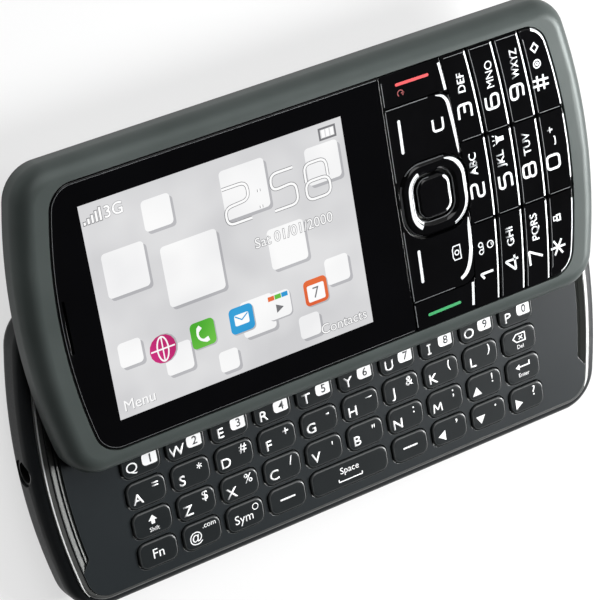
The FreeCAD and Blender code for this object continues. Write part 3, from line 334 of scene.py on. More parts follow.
finishes = {
    # name: first tone, second tone, roughness, grain in cycles per metre, bump, other settings
    "housing": ((0.011, 0.0125, 0.0135), (0.015, 0.0165, 0.018), 0.42, 2600, 0.2, {"specular": 0.14}),
    "cover": ((0.012, 0.014, 0.015), (0.017, 0.019, 0.02), 0.5, 3400, 0.45, {}),
    "deck": ((0.009, 0.012, 0.014), (0.012, 0.0155, 0.0175), 0.42, 5200, 0.08, {"specular": 0.26}),
    "trim": ((0.075, 0.077, 0.075), None, 0.36, 900, 0.0, {"metal": 0.5, "spread": 0.03}),
    # painted highlight: the pale tone of the beads on the chrome edge of the trim ring
    "bead": ((0.72, 0.73, 0.72), None, 0.34, 900, 0.0, {"metal": 0.35, "spread": 0.03}),
    "bezel": (
        (0.047, 0.057, 0.054), (0.07, 0.082, 0.079), 0.4, 9000, 0.06,
        {"metal": 0.15, "fleck": 0.5, "specular": 0.14},
    ),
    "tray": ((0.014, 0.015, 0.016), None, 0.45, 2600, 0.25, {}),
    "face_glass": (
        (0.0015, 0.0015, 0.0018), (0.002, 0.002, 0.0025), 0.04, 300, 0.01,
        {"spread": 0.01, "specular": 0.3},
    ),
    "panel": ((0.7, 0.72, 0.75), None, 0.2, 700, 0.02, {}),
    "gloss_keys": (
        (0.0018, 0.0018, 0.002), (0.003, 0.003, 0.0035), 0.07, 500, 0.015,
        {"spread": 0.015, "specular": 0.3},
    ),
    "keyboard_keys": (
        (0.0095, 0.0115, 0.0125), (0.013, 0.0155, 0.0165), 0.36, 4200, 0.12, {"specular": 0.2},
    ),
    "side_keys": ((0.03, 0.032, 0.034), None, 0.35, 3000, 0.15, {}),
    "steel": (
        (0.5, 0.51, 0.52), None, 0.32, 1600, 0.12,
        {"metal": 1.0, "stretch": (0.06, 1, 1), "spread": 0.1},
    ),
    "spring_steel": ((0.38, 0.38, 0.4), None, 0.28, 2400, 0.08, {"metal": 1.0}),
    "screws": ((0.09, 0.09, 0.095), None, 0.35, 2400, 0.1, {"metal": 1.0}),
    "mat": ((0.55, 0.56, 0.54), None, 0.6, 1800, 0.1, {}),
    "dome_film": ((0.45, 0.44, 0.42), None, 0.4, 1500, 0.08, {}),
    "board": ((0.012, 0.09, 0.045), (0.02, 0.13, 0.06), 0.4, 1500, 0.15, {}),
    "battery_case": ((0.03, 0.03, 0.032), None, 0.5, 2000, 0.2, {}),
    "module": ((0.02, 0.02, 0.021), None, 0.5, 2200, 0.2, {}),
    "lens_glass": ((0.006, 0.006, 0.012), (0.01, 0.008, 0.02), 0.04, 400, 0.01, {"spread": 0.01}),
    "socket_plastic": ((0.008, 0.008, 0.009), None, 0.4, 2200, 0.15, {}),
    "flex_film": ((0.42, 0.17, 0.03), (0.5, 0.22, 0.05), 0.35, 1200, 0.05, {}),
    # painted highlight: the lighter tone of the letter caps' leaning rims
    "capRim": ((0.032, 0.035, 0.036), (0.047, 0.05, 0.05), 0.36, 4200, 0.05, {}),
    # painted highlight: the lighter tone of the bevels round the key windows in the deck
    "windowRim": ((0.075, 0.08, 0.08), (0.1, 0.105, 0.105), 0.3, 4200, 0.05, {"metal": 0.3}),
    "rib": ((0.026, 0.029, 0.026), (0.037, 0.04, 0.036), 0.42, 2600, 0.03, {"metal": 0.2}),
    "print": ((0.82, 0.83, 0.84), (0.88, 0.88, 0.88), 0.45, 5000, 0.05, {}),
    "printDark": ((0.03, 0.032, 0.035), None, 0.5, 5000, 0.05, {}),
    # for print on the face keys and for painted highlights on their edges
    "silver": ((0.74, 0.77, 0.79), (0.84, 0.86, 0.87), 0.3, 2500, 0.04, {"metal": 0.25}),
    # thin dim lines along the face keys' edges, painted reflections
    "hairline": ((0.11, 0.115, 0.12), (0.16, 0.165, 0.17), 0.35, 2500, 0.04, {"metal": 0.4}),
    "red": ((0.55, 0.012, 0.018), (0.62, 0.02, 0.026), 0.4, 4000, 0.05, {}),
    "redDim": ((0.2, 0.01, 0.012), None, 0.4, 4000, 0.05, {}),
    "green": ((0.0, 0.24, 0.06), (0.01, 0.3, 0.09), 0.4, 4000, 0.05, {}),
}
materials = {name: grainy(name, *look) for name, look in finishes.items()}
for nodeName, node in nodes.items():
    setLook(node, slotOf[nodeName])
    slotOf[nodeName]
print("finishes done")


# Camera.
viewPoint = {
    "place": (-189.99 * mm, 167.33 * mm, 355.04 * mm),
    "target": (-7.45 * mm, 16.11 * mm, 15.0 * mm),
    "roll": 114.466,     # degrees
    "lens": 151.04,
    "sensor": 36.0,
    "clip": (0.01, 60),
}


def aimed(place, target):
    return (Vector(target) - Vector(place)).to_track_quat("-Z", "Y")


def addCamera():
    deselectAll()
    place = viewPoint["place"]
    bpy.ops.object.camera_add(location=place)
    camera = bpy.context.object
    roll = Matrix.Rotation(math.radians(viewPoint["roll"]), 4, "Z")
    turn = aimed(place, viewPoint["target"]).to_matrix().to_4x4()
    camera.matrix_world = Matrix.Translation(place) @ turn @ roll
    camera.data.lens = viewPoint["lens"]
    camera.data.sensor_width = viewPoint["sensor"]
    camera.data.clip_start, camera.data.clip_end = viewPoint["clip"]
    bpy.context.scene.camera = camera


# Light, floor and sky.
studio = {
    "floor": 30.0,
    "floorTone": 0.7,
    "floorGap": 0.03 * mm,
    "floorShadow": 0.35,
    "lamps": [
        # name, place, aim, size, watts
        ("keyLamp", (0.15, 0.62, 0.8), (0, 0.01, 0), 0.9, 7.0),
        ("rightLamp", (0.46, -0.08, 0.28), (0.04, 0.01, 0), 0.22, 6.0),
    ],
    "brightSide": (1.0, 0.5, 0),
    "horizon": 1.0,
    "farSide": 0.08,
    "zenith": 0.03,
    "skyHeights": (0.05, 0.75),     # where the bright band begins to fade and where it ends
    "sideReach": (0.1, 0.85),     # the same from the dim side to the bright one
}


def addLamps():
    for name, place, target, size, watts in studio["lamps"]:
        deselectAll()
        bpy.ops.object.light_add(type="AREA", location=place)
        lamp = bpy.context.object
        lamp.name = name
        lamp.data.shape = "DISK"
        lamp.data.size = size
        lamp.data.energy = watts
        lamp.rotation_euler = aimed(place, target).to_euler()


def addFloor():
    # White paper that mostly shines by itself, so that the shadow on it stays faint.
    deselectAll()
    bpy.ops.mesh.primitive_plane_add(size=studio["floor"], location=(0, 0, -studio["floorGap"]))
    floor = bpy.context.object
    floor.name = "floor"
    material, tree, shader = startMaterial("floorPaper")
    tone = studio["floorTone"]
    paper = {"Base Color": (tone, tone, tone, 1), "Roughness": 0.9, "Specular IOR Level": 0.0}
    feed(tree, shader, paper)
    glow = addNode(tree, "Emission", "Emission", {"Color": (1, 1, 1, 1), "Strength": 1.0})
    kinds = ("Camera", "Glossy", "Transmission")
    rays = [addNode(tree, "LightPath", f"Is {kind} Ray") for kind in kinds]
    either = addNode(tree, "Math", "Value", {0: rays[0], 1: rays[1]}, operation="MAXIMUM")
    seen = addNode(tree, "Math", "Value", {0: either, 1: rays[2]}, operation="MAXIMUM")
    share = mapped(tree, seen, 0.0, 1.0 - studio["floorShadow"], 0.0, 1.0)
    mix = addNode(tree, "MixShader", "Shader", {"Fac": share, 1: shader.outputs["BSDF"], 2: glow})
    feed(tree, tree.nodes["Material Output"], {"Surface": mix})
    floor.data.materials.append(material)


def addSky():
    # Bright low down on one side, dim elsewhere and overhead, so that gloss facing up stays dark.
    world = bpy.data.worlds.new("studioSky")
    bpy.context.scene.world = world
    world.use_nodes = True
    tree = world.node_tree
    place = addNode(tree, "TexCoord", "Generated")
    height = addNode(tree, "SeparateXYZ", "Z", {"Vector": place})
    fade = mapped(tree, height, 0.0, 1.0, *studio["skyHeights"])
    brightSide = Vector(studio["brightSide"]).normalized()
    toward = addNode(tree, "VectorMath", "Value", {0: place, 1: brightSide}, operation="DOT_PRODUCT")
    side = mapped(tree, toward, studio["farSide"], studio["horizon"], *studio["sideReach"])
    ends = {"Factor": fade, "A": side, "B": studio["zenith"]}
    tone = addNode(tree, "Mix", "Result", ends, data_type="FLOAT")
    feed(tree, tree.nodes["Background"], {"Color": tone})


addCamera()
addLamps()
addFloor()
addSky()
bpy.context.scene.view_settings.view_transform = "Standard"
print("camera and light done")


# Thin lines, strokes and words. A path that ends on its first point is closed.
def arcPath(x, y, radius, steps=12, start=0, end=360, tall=1):
    points = []
    for index in range(steps + 1):
        angle = math.radians(start + (end - start) * index / steps)
        points.append((x + radius * math.cos(angle), y + radius * tall * math.sin(angle)))
    return points[:-1] + points[:1] if end - start == 360 else points


def roundedPath(points, radius, steps=5):
    # Takes each corner of a path off with an arc of about that radius.
    closed = points[0] == points[-1]
    corners = points[:-1] if closed else points
    count = len(corners)
    path = []
    for index, point in enumerate(corners):
        if not closed and index in (0, count - 1):
            path.append(tuple(point))
            continue
        corner = Vector(point)
        before = Vector(corners[index - 1]) - corner
        after = Vector(corners[(index + 1) % count]) - corner
        half = before.angle(after) / 2
        room = min(before.length, after.length) * cornerShare
        reach = min(radius / math.tan(half), room)
        start = corner + before.normalized() * reach
        end = corner + after.normalized() * reach
        for step in range(steps + 1):
            t = step / steps
            path.append(tuple(start * (1 - t) ** 2 + corner * 2 * t * (1 - t) + end * t * t))
    return path + path[:1] if closed else path


def addSheet(path, width, z, across=1):
    # A flat grid laid along a path; width is one size or one for each point.
    path = [Vector(point) for point in path]
    closed = path[0] == path[-1]
    last = len(path) - 1
    widths = width if isinstance(width, list) else [width] * len(path)
    deselectAll()
    bpy.ops.mesh.primitive_grid_add(x_subdivisions=last, y_subdivisions=across, size=1)
    sheet = bpy.context.object
    for vertex in sheet.data.vertices:
        index = round((vertex.co.x + 0.5) * last)
        ahead = path[min(index + 1, last)] - path[min(index, last - 1)]
        behind = path[max(index, 1)] - path[max(index - 1, 0)]
        if closed and index in (0, last):
            ahead, behind = path[1] - path[0], path[-1] - path[-2]
        along = (ahead.normalized() + behind.normalized()).normalized()
        spread = 1 / max(0.5, along.dot(behind.normalized()))
        spot = path[index] + Vector((-along.y, along.x)) * vertex.co.y * widths[index] * spread
        vertex.co = (*spot, z)
    return sheet


def addStrip(path, width, zLow, zHigh):
    strip = addSheet(path, width, zLow)
    drawUp(strip, zHigh - zLow)
    return strip


def place2d(points, x, y, scaleX=1, scaleY=1, turn=0):
    cosine, sine = math.cos(math.radians(turn)), math.sin(math.radians(turn))
    placed = []
    for u, v in points:
        across, up = u * scaleX, v * scaleY
        placed.append((x + across * cosine - up * sine, y + across * sine + up * cosine))
    return placed


strokeGlyphs = {
    # Each sign is a list of strokes on a field that runs from -1 to 1 both ways.
    "0": [[(-1, -1), (1, -1), (1, 1), (-1, 1), (-1, -1)]],
    "1": [[(-0.6, 0.5), (0.2, 1), (0.2, -1)]],
    "2": [[(-1, 1), (1, 1), (1, 0.05), (-1, -0.05), (-1, -1), (1, -1)]],
    "3": [[(-1, 1), (1, 1), (1, -1), (-1, -1)], [(-0.25, 0.05), (1, 0.05)]],
    "4": [[(0.45, -1), (0.45, 1), (-1, -0.45), (1, -0.45)]],
    "5": [[(0.95, 1), (-0.95, 1), (-1, 0.1), (1, 0.2), (1, -1), (-1, -1)]],
    "6": [[(0.8, 1), (-1, 1), (-1, -1), (1, -1), (1, 0.15), (-1, 0.15)]],
    "7": [[(-1, 1), (1, 1), (-0.2, -1)]],
    "8": [
        [(-1, -1), (1, -1), (1, 0.02), (-1, 0.02), (-1, -1)],
        [(-0.92, 0.02), (-0.92, 1), (0.92, 1), (0.92, 0.02)],
    ],
    "9": [[(-0.8, -1), (1, -1), (1, 1), (-1, 1), (-1, -0.1), (1, -0.1)]],
    "star": [[(0, -1.1), (0, 1.1)], [(-1, -0.6), (1, 0.6)], [(-1, 0.6), (1, -0.6)]],
    "hash": [
        [(-0.5, -1.1), (-0.34, 1.1)], [(0.34, -1.1), (0.5, 1.1)],
        [(-1.1, -0.42), (1.1, -0.42)], [(-1.1, 0.42), (1.1, 0.42)],
    ],
    "C": [[(1, 1), (-1, 1), (-1, -1), (1, -1)]],
    "M": [[(-1, -1), (-0.8, 1), (0, -0.5), (0.8, 1), (1, -1)]],
    "I": [[(0, -1), (0, 1)], [(-0.45, 1), (0.45, 1)], [(-0.45, -1), (0.45, -1)]],
    "colon": [[(0, 0.45), (0, 0.3)], [(0, -0.45), (0, -0.6)]],
}
sharpSigns = ("1", "4", "7", "M")
roundness, sharpRoundness = 0.3, 0.05     # corner radius as a share of the sign's short side
strokeStep = 0.003 * mm     # each stroke ends a little higher, so that crossings don't share a face
capitalHeight = 0.7     # of the built-in type at size 1
typeSteps = 4     # points on each curve of a letter


def drawGlyph(sign, x, y, halfWidth, halfHeight, pen, zLow, zHigh, turn=0):
    share = sharpRoundness if sign in sharpSigns else roundness
    radius = share * min(halfWidth, halfHeight) * 2
    strokes = []
    for index, points in enumerate(strokeGlyphs[sign]):
        path = place2d(points, x, y, halfWidth, halfHeight, turn)
        if len(path) > 2:
            path = roundedPath(path, radius)
        strokes.append(addStrip(path, pen, zLow, zHigh + index * strokeStep))
    return joinPieces(strokes)


def addWord(text, x, y, height, zLow, zHigh, turn=0, stretch=1.0, bold=0.0):
    # Type made a mesh first, then sized by its capitals, centred and turned to its place.
    deselectAll()
    bpy.ops.object.text_add(location=(0, 0, 0))
    letters = bpy.context.object.data
    letters.body, letters.resolution_u, letters.offset = text, typeSteps, bold
    bpy.ops.object.convert(target="MESH")
    word = bpy.context.object
    spans = [[vertex.co[axis] for vertex in word.data.vertices] for axis in (0, 1)]
    shift(word, *[-(min(span) + max(span)) / 2 for span in spans])
    scale = height / capitalHeight
    word.data.transform(Matrix.Diagonal((scale * stretch, scale, 1, 1)))
    turnBy(word, math.radians(turn))
    shift(word, x, y, zLow)
    drawUp(word, zHigh - zLow, tiny / 8)
    return word


# Soft-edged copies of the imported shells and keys.
softEdges = inMm({
    "base_housing": 0.1, "battery_cover": 0.1, "slider_bezel": 0.08, "slider_tray": 0.06,
    "trim_ring": 0.1, "display_window": 0.05, "volume_key": 0.12, "camera_key": 0.12,
    "usb_socket": 0.04, "headphone_jack": 0.05, "rail_plate": 0.06, "slide_plate": 0.06,
    "camera_window": 0.06, "nav_ring": 0.06, "ok_key": 0.05, "clear_key": 0.05,
    "photo_key": 0.05, "send_key": 0.05, "end_key": 0.05,
    **{name: 0.05 for name in nodes if name.startswith("key_")},
})
ringDrop = 0.02 * mm     # room for the painted highlight strips on the navigation ring inside the imported height
for nodeName, width in softEdges.items():
    shell = cleanCopy(nodeName)
    softenEdges(shell, width)
    if nodeName == "nav_ring":
        shift(shell, 0, 0, -ringDrop)
    slot = slotOf[nodeName]
    fit(shell.name, [shell], nodeBody[nodeName], slot, [nodeName])
print("shells and face keys done")


# Letter keyboard.
letterKeys = inMm({
    "corner": 1.5,
    "cornerSegments": 7,
    "edge": 0.3,
    "edgeSegments": 3,
    "smoothAngle": 50,
    "dishInset": 0.5,
    "dishDepth": 0.04,
    "gap": 0.22,
    "groups": {
        # body: the row and the columns of its caps
        "keyboard_row_1": (0, range(10)),
        "keyboard_row_2": (1, range(9)),
        "delete_key": (1, [9]),
        "shift_key": (2, [0]),
        "keyboard_row_3": (2, range(1, 9)),
        "enter_key": (2, [9]),
        "function_key": (3, [0]),
        "keyboard_row_4": (3, [1, 2, 3, 6, 7, 8, 9]),
        "space_key": (3, [4]),
    },
})
keyBody = {
    (column, row): body for body, (row, columns) in letterKeys["groups"].items() for column in columns
}
rowLow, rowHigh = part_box("keyboard_row_1")
capLow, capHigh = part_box("delete_key")
keyLength, keyWidth, keyTop = capHigh.x - capLow.x, capHigh.y - capLow.y, rowHigh.z
keyPitchX = (rowHigh.x - rowLow.x - keyLength) / 9
keyPitchY = rowHigh.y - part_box("keyboard_row_2")[1].y


def keyPlace(column, row):
    x = rowLow.x + keyLength / 2 + column * keyPitchX
    if keyBody[column, row] == "space_key":
        x += keyPitchX / 2
    return x, rowHigh.y - keyWidth / 2 - row * keyPitchY


def addCap(length):
    look = letterKeys
    corner = (look["corner"], look["cornerSegments"])
    cap = addRoundBlock(0, 0, length, keyWidth, rowLow.z, keyTop, *corner)
    onTop = lambda *corners: all(abs(corner.z - keyTop) < tiny for corner in corners)
    roundEdges(cap, look["edge"], look["edgeSegments"], onTop)
    selectParts(cap, "FACE", onTop)
    bpy.ops.mesh.inset(thickness=look["dishInset"], depth=-look["dishDepth"])
    finishEdit()
    smooth(cap, look["smoothAngle"])
    return cap


def copyPiece(piece, x, y):
    copy = piece.copy()
    copy.data = piece.data.copy()
    bpy.context.collection.objects.link(copy)
    shift(copy, x, y)
    return copy


smallCap, wideCap = addCap(keyLength), addCap(keyLength + keyPitchX)
for bodyName, (row, columns) in letterKeys["groups"].items():
    model = wideCap if bodyName == "space_key" else smallCap
    caps = [copyPiece(model, *keyPlace(column, row)) for column in columns]
    name = camelName(bodyName) + "Caps"
    # The leaning rims of the caps take a lighter finish, a painted highlight.
    paintLeaningHighlight(fit(name, caps, bodyName, "keyboard_keys", [bodyName]), "capRim")
for model in (smallCap, wideCap):
    bpy.data.objects.remove(model)


# Deck round the letter keys.
deck = inMm({
    "thickness": 1.1,
    "endRadius": 100.72,
    "corner": 4.22,
    "grooveInset": 0.1,
    "grooveWidth": 1.75,
    "grooveDepth": 0.45,
    "grooveFront": 3.6,
    "grooveRear": 2.2,
    "grooveReach": 4.0,
    "pocketGap": 0.1,
    "pocketDepth": 0.5,
    "edge": 0.1,
    "smoothAngle": 40,
    "flexSlit": ((27.0, 20.7), (35.0, 22.3)),
})
grooveSlant = 1.5     # along the phone for each step across it
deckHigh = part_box("keyboard_deck")[1]
deckOutline = (deckHigh.x, deckHigh.y, deck["endRadius"], deck["corner"])


def addGroove(side, top):
    # The band between two bowed outlines, kept at one end and cut off on a slant at the front.
    halfLength, halfWidth = deckOutline[:2]
    width, low = deck["grooveWidth"], top - deck["grooveDepth"]
    outer = [part - deck["grooveInset"] for part in deckOutline]
    inner = [outer[0] - width, outer[1] + mm, outer[2] - width, outer[3]]
    band = addBowedPlate(outer, low, top + mm)
    combine(band, addBowedPlate(inner, low - mm, top + 2 * mm))
    left, right = sorted((side * (halfLength - deck["grooveReach"]), side * (halfLength + mm)))
    front, rear = deck["grooveFront"] - halfWidth, halfWidth - deck["grooveRear"]
    keep = addBlock((left, front, low - mm), (right, rear, top + 2 * mm))
    for vertex in keep.data.vertices:
        if vertex.co.y < 0:
            vertex.co.y += grooveSlant * (halfLength - abs(vertex.co.x) - width / 3)
    combine(band, keep, "INTERSECT")
    return band


def addDeck():
    top, gap = deckHigh.z, letterKeys["gap"]
    above, below = top + mm, top - 2 * mm
    plate = addBowedPlate(deckOutline, top - deck["thickness"], top)
    windows = []
    for (column, row), body in keyBody.items():
        length = keyLength + 2 * gap + (keyPitchX if body == "space_key" else 0)
        size = (length, keyWidth + 2 * gap, below, above, letterKeys["corner"] + gap)
        windows.append(addRoundBlock(*keyPlace(column, row), *size, letterKeys["cornerSegments"]))
    combine(plate, joinPieces(windows))
    for side in (-1, 1):
        combine(plate, addGroove(side, top))
    railLow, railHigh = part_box("rail_plate")
    gap = deck["pocketGap"]
    pocketLow = (railLow.x - gap, railLow.y - gap, top - deck["pocketDepth"])
    combine(plate, addBlock(pocketLow, (railHigh.x + gap, railHigh.y + gap, above)))
    slitLow, slitHigh = deck["flexSlit"]
    combine(plate, addBlock((*slitLow, below), (*slitHigh, above)))
    softenEdges(plate, deck["edge"], degrees=deck["smoothAngle"])
    fit("keyboardDeckPlate", [plate], "base", "deck", ["keyboard_deck"])
    # The bevels round the key windows take a lighter finish, a painted highlight.
    paintLeaningHighlight(plate, "windowRim")


addDeck()
print("letter keyboard and deck done")


# Marks on the letter keys.
letterMarks = inMm({
    "height": 1.8,
    "strokeHalf": (0.864, 0.828),
    "pen": 0.27,
    "smallHeight": 1.7,
    "digitHeight": 1.45,
    "mainShift": (-1.8, -0.62),
    "upperShift": (1.72, 0.9),
    "box": (3.1, 2.25),
    "boxShift": (1.78, 0.08),
    "boxCorner": 0.7,
    "boxSegments": 3,
    "boxPrint": 0.012,
    "thickness": 0.015,
    "sink": 0.06,
    "rows": [
        # letters, the signs above them, column of the first
        ("QWERTYUIOP", "1234567890", 0),
        ("ASDFGHJKL", "=*#+-_&()", 0),
        ("ZXCVBNM", "$%/'\":;", 1),
    ],
    "words": [
        # text, column, row, shift right and up, height
        ("Del", 9, 1, (0.1, -1.15), 0.75),
        ("Shift", 0, 2, (0.15, -1.2), 0.75),
        ("!", 8, 2, (1.72, 0.9), 1.8),
        ("Enter", 9, 2, (0.1, -0.95), 0.75),
        ("Fn", 0, 3, (0, 0), 1.75),
        ("@", 1, 3, (-1.3, -0.4), 1.8),
        (".com", 1, 3, (1.5, 1.2), 0.95),
        ("Sym", 2, 3, (-0.35, -0.55), 1.6),
        ("Space", 4, 3, (0, 0.55), 1.2),
        (",", 7, 3, (1.6, 1.2), 2.2),
        (".", 8, 3, (1.6, 1.1), 2.2),
        ("?", 9, 3, (1.64, 0.9), 1.9),
    ],
    "strips": [
        # column, row, stroke steps up, path from the middle of the cap, width
        (8, 2, 0, [(-1.8, -1.385), (-1.8, 0.145)], [1.955, 0.02]),     # four pointers
        (7, 3, 0, [(-1.035, -0.62), (-2.565, -0.62)], [1.955, 0.02]),
        (8, 3, 0, [(-1.8, 0.145), (-1.8, -1.385)], [1.955, 0.02]),
        (9, 3, 0, [(-2.565, -0.62), (-1.035, -0.62)], [1.955, 0.02]),
        (0, 2, 0, [(0.1, 0.4), (0.1, 1.35)], [1.615, 0.02]),     # arrow on a stem
        (0, 2, 0, [(0.1, -0.265), (0.1, 0.41)], 0.665),
        (3, 3, 0, [(-1.5, 0), (1.5, 0)], 0.3),     # dashes
        (6, 3, 0, [(-1.5, 0), (1.5, 0)], 0.3),
        (9, 1, 0, [     # box with a cross
            (-1.3, 0.55), (-0.6, 1.3), (1.3, 1.3), (1.3, -0.2), (-0.6, -0.2), (-1.3, 0.55),
        ], 0.22),
        (9, 1, -1, [(-0.05, 0.9), (0.75, 0.2)], 0.2),
        (9, 1, 1, [(-0.05, 0.2), (0.75, 0.9)], 0.2),
        (9, 2, 0, [(1.45, 1.35), (1.45, 0.6), (-0.9, 0.6)], 0.26),     # bent arrow
        (9, 2, 0, [(-0.7, 0.6), (-1.6, 0.6)], [1.15, 0.02]),
        (2, 3, 0, arcPath(2.1, 0.95, 0.55, 16), 0.14),     # ring
        (4, 3, 0, [(-2.4, -0.7), (-2.4, -1.2), (2.4, -1.2), (2.4, -0.7)], 0.2),     # bracket
    ],
})
letterType = {
    # width of the type and how far its outline is moved out
    "main": {"stretch": 1.12, "bold": 0.012},
    "Q": {"stretch": 1.12},
    "upper": {"bold": 0.01},
    "digit": {"bold": 0.015},
}
printLow = keyTop - letterMarks["sink"]
printHigh = keyTop - letterKeys["dishDepth"] + letterMarks["thickness"]


def addMark(text, column, row, offset, height, style=(), zHigh=printHigh):
    x, y = keyPlace(column, row)
    return addWord(text, x + offset[0], y + offset[1], height, printLow, zHigh, **dict(style))


def addLetter(letter, column, row):
    # Two letters are drawn by strokes; the rest are type.
    look = letterMarks
    if letter in "MI":
        x, y = (a + b for a, b in zip(keyPlace(column, row), look["mainShift"]))
        return drawGlyph(letter, x, y, *look["strokeHalf"], look["pen"], printLow, printHigh)
    style = letterType.get(letter, letterType["main"])
    return addMark(letter, column, row, look["mainShift"], look["height"], style)


def addLetterMarks():
    look = letterMarks
    light, dark = defaultdict(list), defaultdict(list)
    for row, (letters, uppers, first) in enumerate(look["rows"]):
        for column, (letter, upper) in enumerate(zip(letters, uppers), first):
            body = keyBody[column, row]
            light[body].append(addLetter(letter, column, row))
            if row:
                place = (column, row, look["upperShift"], look["smallHeight"])
                light[body].append(addMark(upper, *place, letterType["upper"]))
                continue
            x, y = (a + b for a, b in zip(keyPlace(column, row), look["boxShift"]))
            size = (*look["box"], printLow, printHigh, look["boxCorner"], look["boxSegments"])
            light[body].append(addRoundBlock(x, y, *size))
            place = (column, row, look["boxShift"], look["digitHeight"])
            boxHigh = printHigh + look["boxPrint"]
            dark[body].append(addMark(upper, *place, letterType["digit"], boxHigh))
    for text, column, row, offset, height in look["words"]:
        light[keyBody[column, row]].append(addMark(text, column, row, offset, height))
    for column, row, steps, path, width in look["strips"]:
        path = place2d(path, *keyPlace(column, row))
        strip = addStrip(path, width, printLow, printHigh + steps * strokeStep)
        light[keyBody[column, row]].append(strip)
    for ending, ink, groups in (("Marks", "print", light), ("Digits", "printDark", dark)):
        for body, pieces in groups.items():
            fit(camelName(body) + ending, pieces, body, ink)


addLetterMarks()
print("letter marks done")


# What the display shows.
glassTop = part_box("display_window")[1].z
display = inMm({
    "low": (-43.17, 7.58),
    "high": (5.63, 44.18),
    "sink": 0.02,
    "sheet": 0.006,
    "step": 0.004,
    "wordShadow": 0.07,
    "tileCorner": 0.7,
    "cornerSegments": 4,
    "tileShade": (0.45, -0.55),
    "tiles": [
        # middle right and up from the lower left corner, size
        (6.0, 24.0, 7.6), (13.2, 31.4, 5.2), (17.6, 20.4, 10.4), (27.6, 8.6, 6.2),
        (35.2, 18.6, 7.0), (44.2, 30.0, 6.4), (4.0, 10.4, 4.2), (43.6, 11.4, 4.6),
        (29.2, 30.2, 8.4), (21.0, 3.0, 3.6), (36.8, 3.6, 4.0), (12.2, 6.6, 5.0),
    ],
})
screenLooks = {
    "screenSheet": ((0.62, 0.62, 0.635), (0.74, 0.74, 0.75)),
    "screenShade": ((0.42, 0.42, 0.44), (0.5, 0.5, 0.52)),
    "screenTile": ((0.86, 0.86, 0.87), (0.97, 0.97, 0.97)),
    "screenWhite": ((0.98, 0.98, 0.98), (1.0, 1.0, 1.0)),
    "screenInk": ((0.13, 0.13, 0.14), (0.2, 0.2, 0.21)),
    "screenPlum": ((0.45, 0.006, 0.12), (0.6, 0.02, 0.2)),
    "screenGreen": ((0.06, 0.4, 0.02), (0.16, 0.55, 0.06)),
    "screenBlue": ((0.0, 0.22, 0.55), (0.03, 0.36, 0.7)),
    "screenOrange": ((0.7, 0.09, 0.02), (0.8, 0.16, 0.04)),
}


litPatchScale, dotScale = 70.0, 9000.0     # cycles per metre


def lit(name, low, high):
    # Light comes from below the glass, in two soft tones.
    material, tree, shader = startMaterial(name)
    place = addNode(tree, "TexCoord", "Object")
    patch = addNode(tree, "TexNoise", "Fac", {"Vector": place, "Scale": litPatchScale, "Detail": 2.0})
    dots = addNode(tree, "TexChecker", "Fac", {"Vector": place, "Scale": dotScale})
    ends = {"Factor": mapped(tree, patch, 0.0, 1.0, 0.35, 0.65), "A": (*low, 1), "B": (*high, 1)}
    feed(tree, shader, {
        "Emission Color": addNode(tree, "Mix", "Result", ends, data_type="RGBA"),
        "Emission Strength": mapped(tree, dots, 0.97, 1.0, 0.0, 1.0),
        "Base Color": (0.01, 0.01, 0.01, 1),
        "Roughness": 0.06,
    })
    return material


materials.update({name: lit(name, *tones) for name, tones in screenLooks.items()})
screenParts = defaultdict(list)


def screenLevel(level):
    return glassTop - display["sink"], glassTop + display["sheet"] + level * display["step"]


def screenBlock(look, level, x, y, length, width, corner=0):
    low, high = screenLevel(level)
    if corner:
        block = addRoundBlock(x, y, length, width, low, high, corner, display["cornerSegments"])
    else:
        across, up = length / 2, width / 2
        block = addBlock((x - across, y - up, low), (x + across, y + up, high))
    screenParts[look].append(block)


def screenPath(look, level, path, width):
    screenParts[look].append(addStrip(path, width, *screenLevel(level)))


def screenWord(text, x, y, height, bold=0.0, outline=0.032):
    # White letters inside a dark edge, or with a shadow to their right where they have none.
    shadow = 0.0 if outline else display["wordShadow"]
    layers = (("screenInk", 4, shadow, outline), ("screenWhite", 5, 0.0, bold))
    for look, level, away, edge in layers:
        word = addWord(text, x + away, y - away, height, *screenLevel(level), bold=edge)
        screenParts[look].append(word)


def addWallpaper():
    (x0, y0), (x1, y1) = display["low"], display["high"]
    screenBlock("screenSheet", 0, (x0 + x1) / 2, (y0 + y1) / 2, x1 - x0, y1 - y0)
    shadeX, shadeY = display["tileShade"]
    for x, y, size in display["tiles"]:
        x, y = x0 + x, y0 + y
        screenBlock("screenShade", 1, x + shadeX, y + shadeY, size, size, display["tileCorner"])
        screenBlock("screenTile", 2, x, y, size, size, display["tileCorner"])


clock = inMm({
    "signs": [("2", -15.8, 35.8), ("colon", -11.5, 35.6), ("5", -6.9, 35.5), ("8", -0.56, 35.2)],
    "half": (2.3, 3.1),
    "pens": [("screenInk", 4, 0.62), ("screenWhite", 5, 0.42)],
})


def addClock():
    for sign, x, y in clock["signs"]:
        for look, level, pen in clock["pens"]:
            figure = drawGlyph(sign, x, y, *clock["half"], pen, *screenLevel(level))
            screenParts[look].append(figure)


